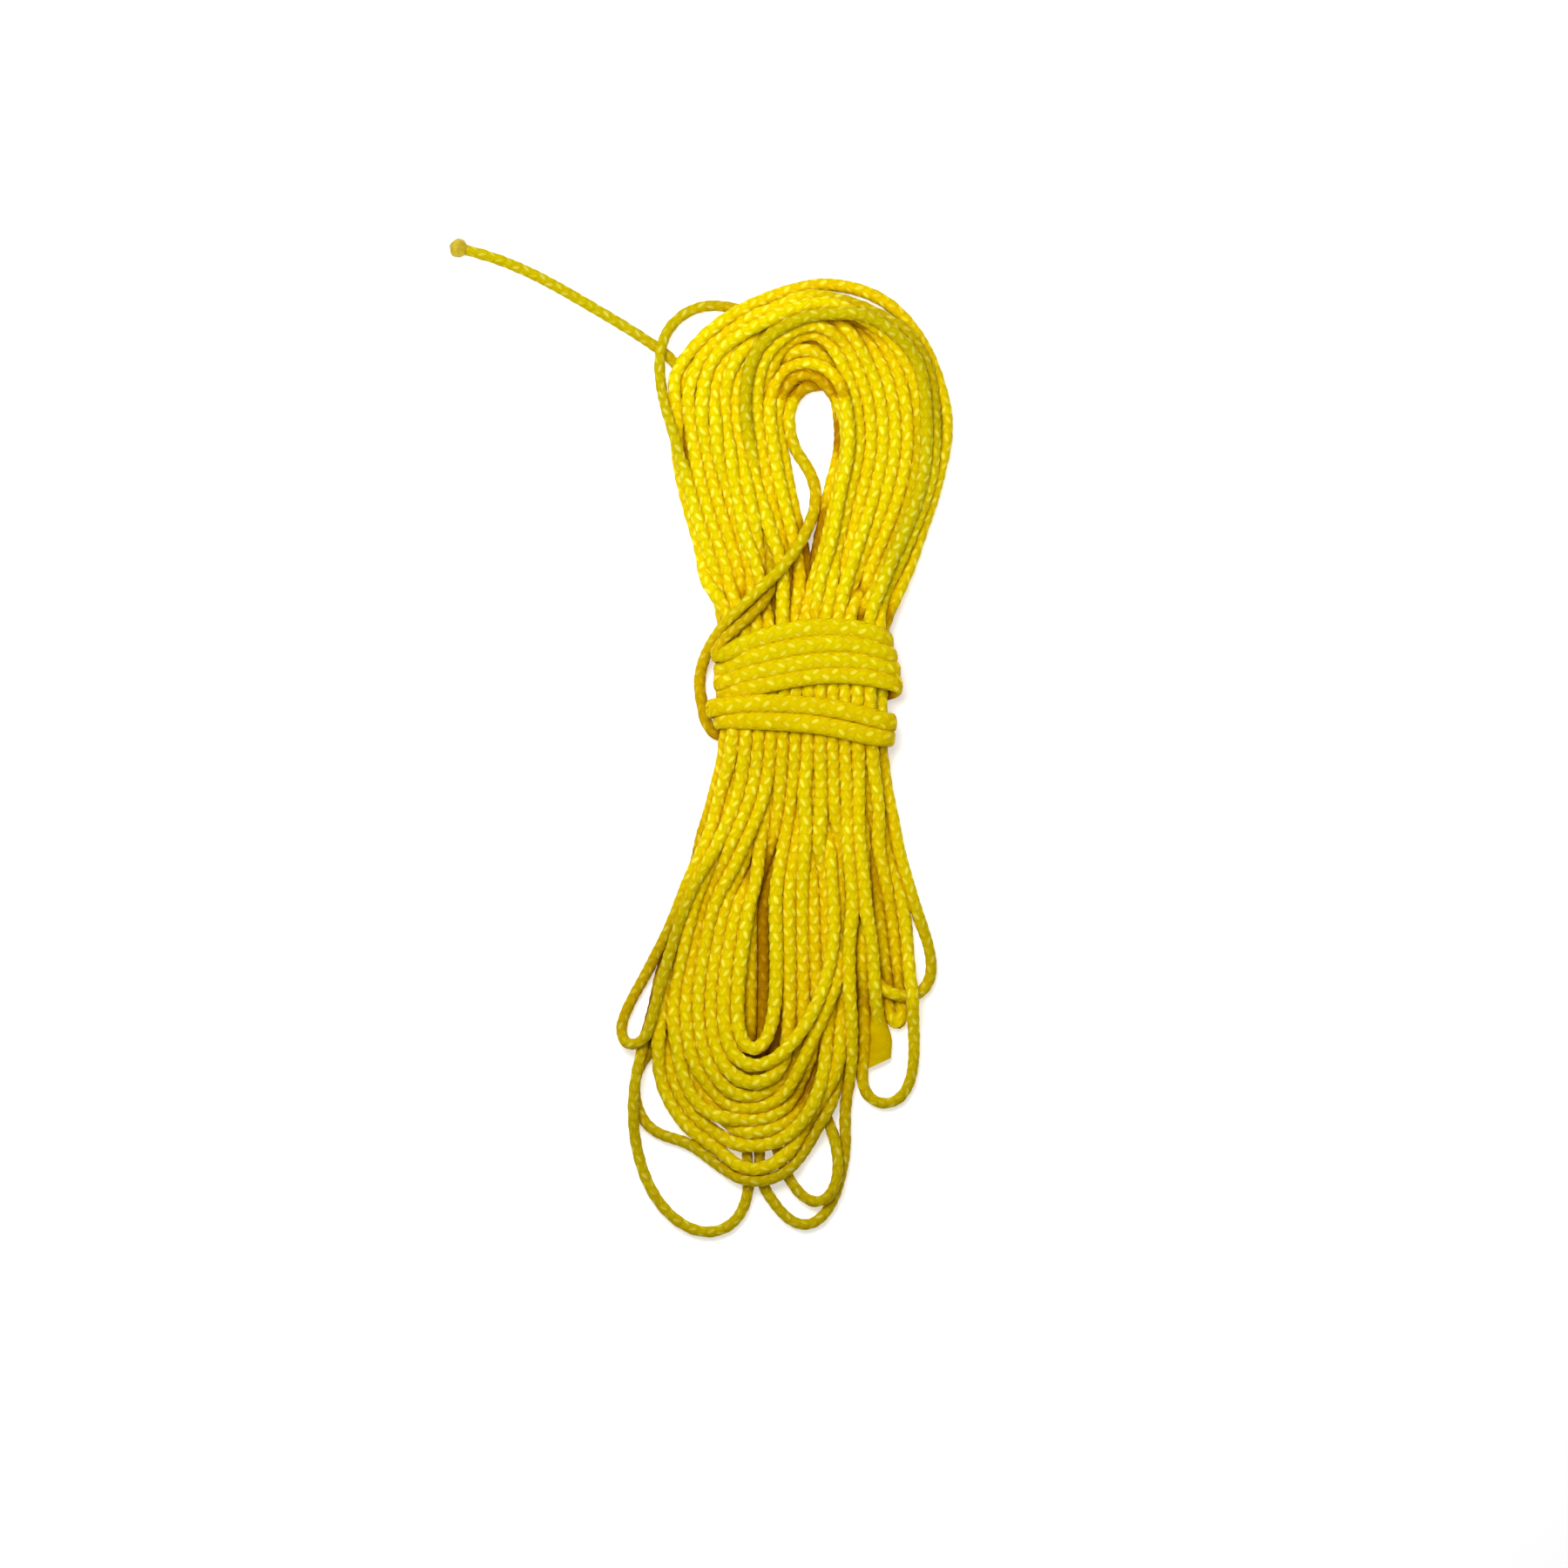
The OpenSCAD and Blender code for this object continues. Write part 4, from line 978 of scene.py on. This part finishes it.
def build():
    P, tags = solve()
    C, s, tg = dense(P, tags)
    # a loose braid spreads into what little room it has beside it
    T = np.gradient(C, axis=0)
    T /= np.linalg.norm(T, axis=1)[:, None]
    left, right = room(C, T, s)
    bound = np.isin(tg, ["wrap", "tie", "tail", "ear", "rim", "edge"])
    left[bound], right[bound] = 0, 0
    side = np.stack([T[:, 1], -T[:, 0], 0 * s], 1)
    C = C + side * ((right - left) / 4)[:, None]
    # the binding turns are pressed flat on the bundle and on the table
    wrap = tg == "wrap"
    soft = np.convolve(np.pad(wrap.astype(float), 12, mode="edge"), np.ones(25) / 25, mode="valid")
    o = C - np.array([-0.2, 0, 4.5])
    o[:, 1] = 0
    o[:, 0] = np.sign(o[:, 0]) * np.maximum(np.abs(o[:, 0]) - 8.5, 0)
    o = o - T * (o * T).sum(1)[:, None]
    o /= np.maximum(np.linalg.norm(o, axis=1)[:, None], 1e-6)
    squash_f = 1 - 0.38 * soft
    wide = 1 + 0.47 * soft
    C[:, 2] -= soft * np.where(o[:, 2] > 0, 1.5 * o[:, 2], -0.35 * o[:, 2])
    s = np.r_[0, np.cumsum(np.linalg.norm(np.diff(C, axis=0), axis=1))]
    # painted shade: how near each point is to other strands, and how low each strand lies among its neighbours
    near = closeness(C, s)
    painted_sunk_shade = depth(C)
    # painted shade on the inner wall of the eye, which stands under the turns above it
    painted_sunk_shade = np.maximum(painted_sunk_shade, 0.8 * np.clip((7.0 - np.hypot(C[:, 0] - 0.6, C[:, 1] - 42.0)) / 1.6, 0, 1) * (C[:, 1] > 44))
    # painted shade on the tail where it goes up the hank under the tie strand
    painted_sunk_shade = np.maximum(painted_sunk_shade, 0.5 * ((tg == "tail") & (C[:, 1] < 19)))
    # no painted shade on the legs between the binding turns
    painted_sunk_shade = np.where((tg == "leg") & (C[:, 1] > -1.5) & (C[:, 1] < 5), 0.0, painted_sunk_shade)
    # painted shadow on the strand that runs down behind the cut end
    behind = (tg == "low:B") & (C[:, 0] < 10) & (C[:, 1] > -53) & (C[:, 1] < -41)
    painted_sunk_shade = np.maximum(painted_sunk_shade, 0.5 * np.convolve(np.pad(behind, 12, mode="edge"), np.ones(25) / 25, mode="valid"))
    # painted shade, growing darker towards the lower turns
    painted_sunk_shade = painted_sunk_shade + 0.16 * np.clip((6 - C[:, 1]) / 6, 0, 1)
    T, N, B = frames(C)
    rng = np.random.default_rng(23)
    n = len(C)
    twist = smooth_noise(rng, n, 160, 1.3) + 0.35 * s / 100
    free = np.array([t in ("tail", "ear") or (t.startswith("low:") and not t.startswith("low:U")) for t in tg])
    free &= ~((C[:, 1] < -8) & (((np.abs(C[:, 0]) < 9.5) & (C[:, 1] > -52)) | ((np.abs(C[:, 0]) < 15.5) & (C[:, 1] > -47))))
    free = np.convolve(np.pad(free + 0.5 * (tg == "tie"), 20, mode="edge"), np.ones(41) / 41, mode="valid")
    scale = (1.21 - 0.19 * free + (left + right) / 3.5) * (1 + smooth_noise(rng, n, 60, 0.012))
    C[:, 2] = np.maximum(C[:, 2], 0.83 * scale * squash_f)
    # painted shade, a duller olive: on the loose strands and the tie strand, on the two strands laid last over the
    # crown and down the right side, on a band along the right edge and on the lowest turns
    shade = np.maximum(free, 0.9 * ((tg == "pair") | ((tg == "edge") & (C[:, 0] > 3))))
    edge = XRO(C[:, 1]) - C[:, 0]
    shade = np.maximum(shade, 0.7 * ((edge > 0.9) & (edge < 2.9) & (C[:, 1] > 18) & (C[:, 1] < 50) & (C[:, 0] > 8)))
    shade = np.maximum(shade, 0.28 * np.array([t.startswith("low:U") for t in tg]) * (C[:, 1] < -50))
    shade = np.convolve(np.pad(shade, 12, mode="edge"), np.ones(25) / 25, mode="valid")
    rough = (1 - 0.15 * soft) * (1 - 0.9 * np.clip((9 - s) / 3, 0, 1))
    squash_n = np.where(soft[:, None] > 0, o, N)
    # the first colour of each is painted shade for the troughs of the braid, the last a painted highlight for its
    # crests
    yellow = line_material("line_yellow", (0.73, 0.53, 0.0), (0.80, 0.67, 0.0), (0.97, 0.93, 0.08), 0.34, 0.6, 0.6)
    # darker colours for the binding turns and the tie strand: painted shade
    taut = line_material("line_yellow_taut", (0.67, 0.50, 0.0), (0.74, 0.59, 0.0), (0.89, 0.81, 0.05), 0.40, 0.4, 0.5)
    # where the line is cut into pieces
    first_tie = int(np.flatnonzero(tg == "tie")[0])
    wraps = np.flatnonzero(wrap)
    first_wrap, last_wrap = int(wraps[0]), int(wraps[-1])
    count = int(math.ceil(s[first_tie] / 560))
    cuts = [("turns_%d" % (k + 1), int(round(first_tie * k / count)), int(round(first_tie * (k + 1) / count))) for k in range(count)]
    cuts += [("tie_strand_line", first_tie, first_wrap), ("binding_line", first_wrap, last_wrap), ("free_tail_line", last_wrap, n - 1)]
    pieces = []
    for name, a, b in cuts:
        k = slice(a, b + 1)
        splay = None
        if a == 0:
            q = np.clip((8.2 - s[k]) / 4.5, 0, 1)
            across = np.array([-T[4][1], T[4][0], 0])
            if across[0] < 0:
                across = -across
            splay = (1 + 1.08 * q * q * (3 - 2 * q), across / np.linalg.norm(across), rng.uniform(1.6, 2.4, 8))
        mat = taut if name in ("tie_strand_line", "binding_line") else yellow
        ob = braid(name, s[k], C[k], T[k], N[k], B[k], twist[k], scale[k], squash_n[k], squash_f[k], wide[k], rough[k], near, painted_sunk_shade[k], shade[k], [mat], splay)
        pieces.append((ob, a, b))
        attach(ob, "root")
    return C, s, tg, pieces, rng


def bead(C, T, rng):
    """The melted drop on the end of the tail."""
    import bmesh
    bm = bmesh.new()
    bmesh.ops.create_icosphere(bm, subdivisions=5, radius=1.0)
    end, ax = C[-1], T[-1]
    side = np.cross([0, 0, 1.0], ax)
    side /= np.linalg.norm(side)
    upv = np.cross(ax, side)
    ph = rng.uniform(0, 6.28, 8)
    for v in bm.verts:
        x, y, z = v.co
        # blunt at the back, rounded in front, with a slumped underside
        k = 1 + 0.05 * math.sin(3 * x + ph[0]) * math.cos(2 * y + ph[1]) + 0.035 * math.sin(6 * y + 4 * z + ph[2]) + 0.02 * math.sin(9 * x - 5 * z + ph[3])
        xx = x * 1.38 * k
        if xx < 0:
            w = 1.05 - 0.22 * (xx / 1.38) ** 2 * 1.0
        else:
            w = 1.08
        yy, zz = y * 1.28 * k * w, z * 1.16 * k * w
        p = end + ax * (xx + 0.68) + side * yy + np.array([0, 0, 1.0]) * zz
        p = p + np.array([0, 0, 0.28])
        p[2] = max(p[2], 0.02 + 0.03 * (1 + math.sin(5 * x + 3 * y)))
        v.co = Vector((p + SHIFT) * MM)
    me = bpy.data.meshes.new("sealed_bead")
    bm.to_mesh(me)
    bm.free()
    for p in me.polygons:
        p.use_smooth = True
    ob = bpy.data.objects.new("sealed_bead", me)
    bpy.context.scene.collection.objects.link(ob)
    me.materials.append(melt_material())
    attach(ob, "root")
    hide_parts("sealed_end")
    return ob


def declare(C, pieces):
    """Hides the imported parts, all but the sealed end. Each piece is a stretch of the one cord, and starts where the
    last ended; the path along each piece is worked out but not used.
    """
    lo_hi = {}
    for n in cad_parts:
        lo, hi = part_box(n)
        lo_hi[n] = (np.array(lo), np.array(hi))
    X = (C + SHIFT) * MM
    for n, (lo, hi) in lo_hi.items():
        if n == "sealed_end":
            continue
        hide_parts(n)
    for i, (ob, a, b) in enumerate(pieces):
        path = X[a:b + 1:3]
        if not np.allclose(path[-1], X[b]):
            path = np.vstack([path, X[b]])


def stage():
    me = bpy.data.meshes.new("floor")
    me.from_pydata([(-3, -3, 0), (3, -3, 0), (3, 3, 0), (-3, 3, 0)], [], [(0, 1, 2, 3)])
    floor = bpy.data.objects.new("floor", me)
    bpy.context.scene.collection.objects.link(floor)
    m = bpy.data.materials.new("floor")
    m.use_nodes = True
    b = m.node_tree.nodes["Principled BSDF"]
    b.inputs["Base Color"].default_value = (0.90, 0.90, 0.90, 1)
    b.inputs["Roughness"].default_value = 0.9
    b.inputs["Specular IOR Level"].default_value = 0.1
    b.inputs["Emission Color"].default_value = (1, 1, 1, 1)
    b.inputs["Emission Strength"].default_value = 0.40
    me.materials.append(m)
    w = bpy.data.worlds.new("studio")
    bpy.context.scene.world = w
    w.use_nodes = True
    bg = w.node_tree.nodes["Background"]
    bg.inputs[0].default_value = (1, 1, 1, 1)
    bg.inputs[1].default_value = 0.38
    def area(name, at, to, size, power):
        d = bpy.data.lights.new(name, "AREA")
        d.shape = "SQUARE"
        d.size = size
        d.energy = power
        o = bpy.data.objects.new(name, d)
        o.location = at
        o.rotation_mode = "QUATERNION"
        o.rotation_quaternion = (Vector(to) - Vector(at)).to_track_quat("-Z", "Y")
        bpy.context.scene.collection.objects.link(o)
    area("key", (-0.045, 0.095, 0.23), (-0.030, 0.050, 0), 0.16, 0.66)
    sc = bpy.context.scene
    sc.view_settings.view_transform = "Standard"
    sc.view_settings.look = "None"


camera()
C, S, TG, PIECES, RNG = build()
T_END = np.gradient(C, axis=0)
T_END /= np.linalg.norm(T_END, axis=1)[:, None]
DROP = bead(C, T_END, RNG)
declare(C, PIECES)
stage()
bpy.context.view_layer.update()
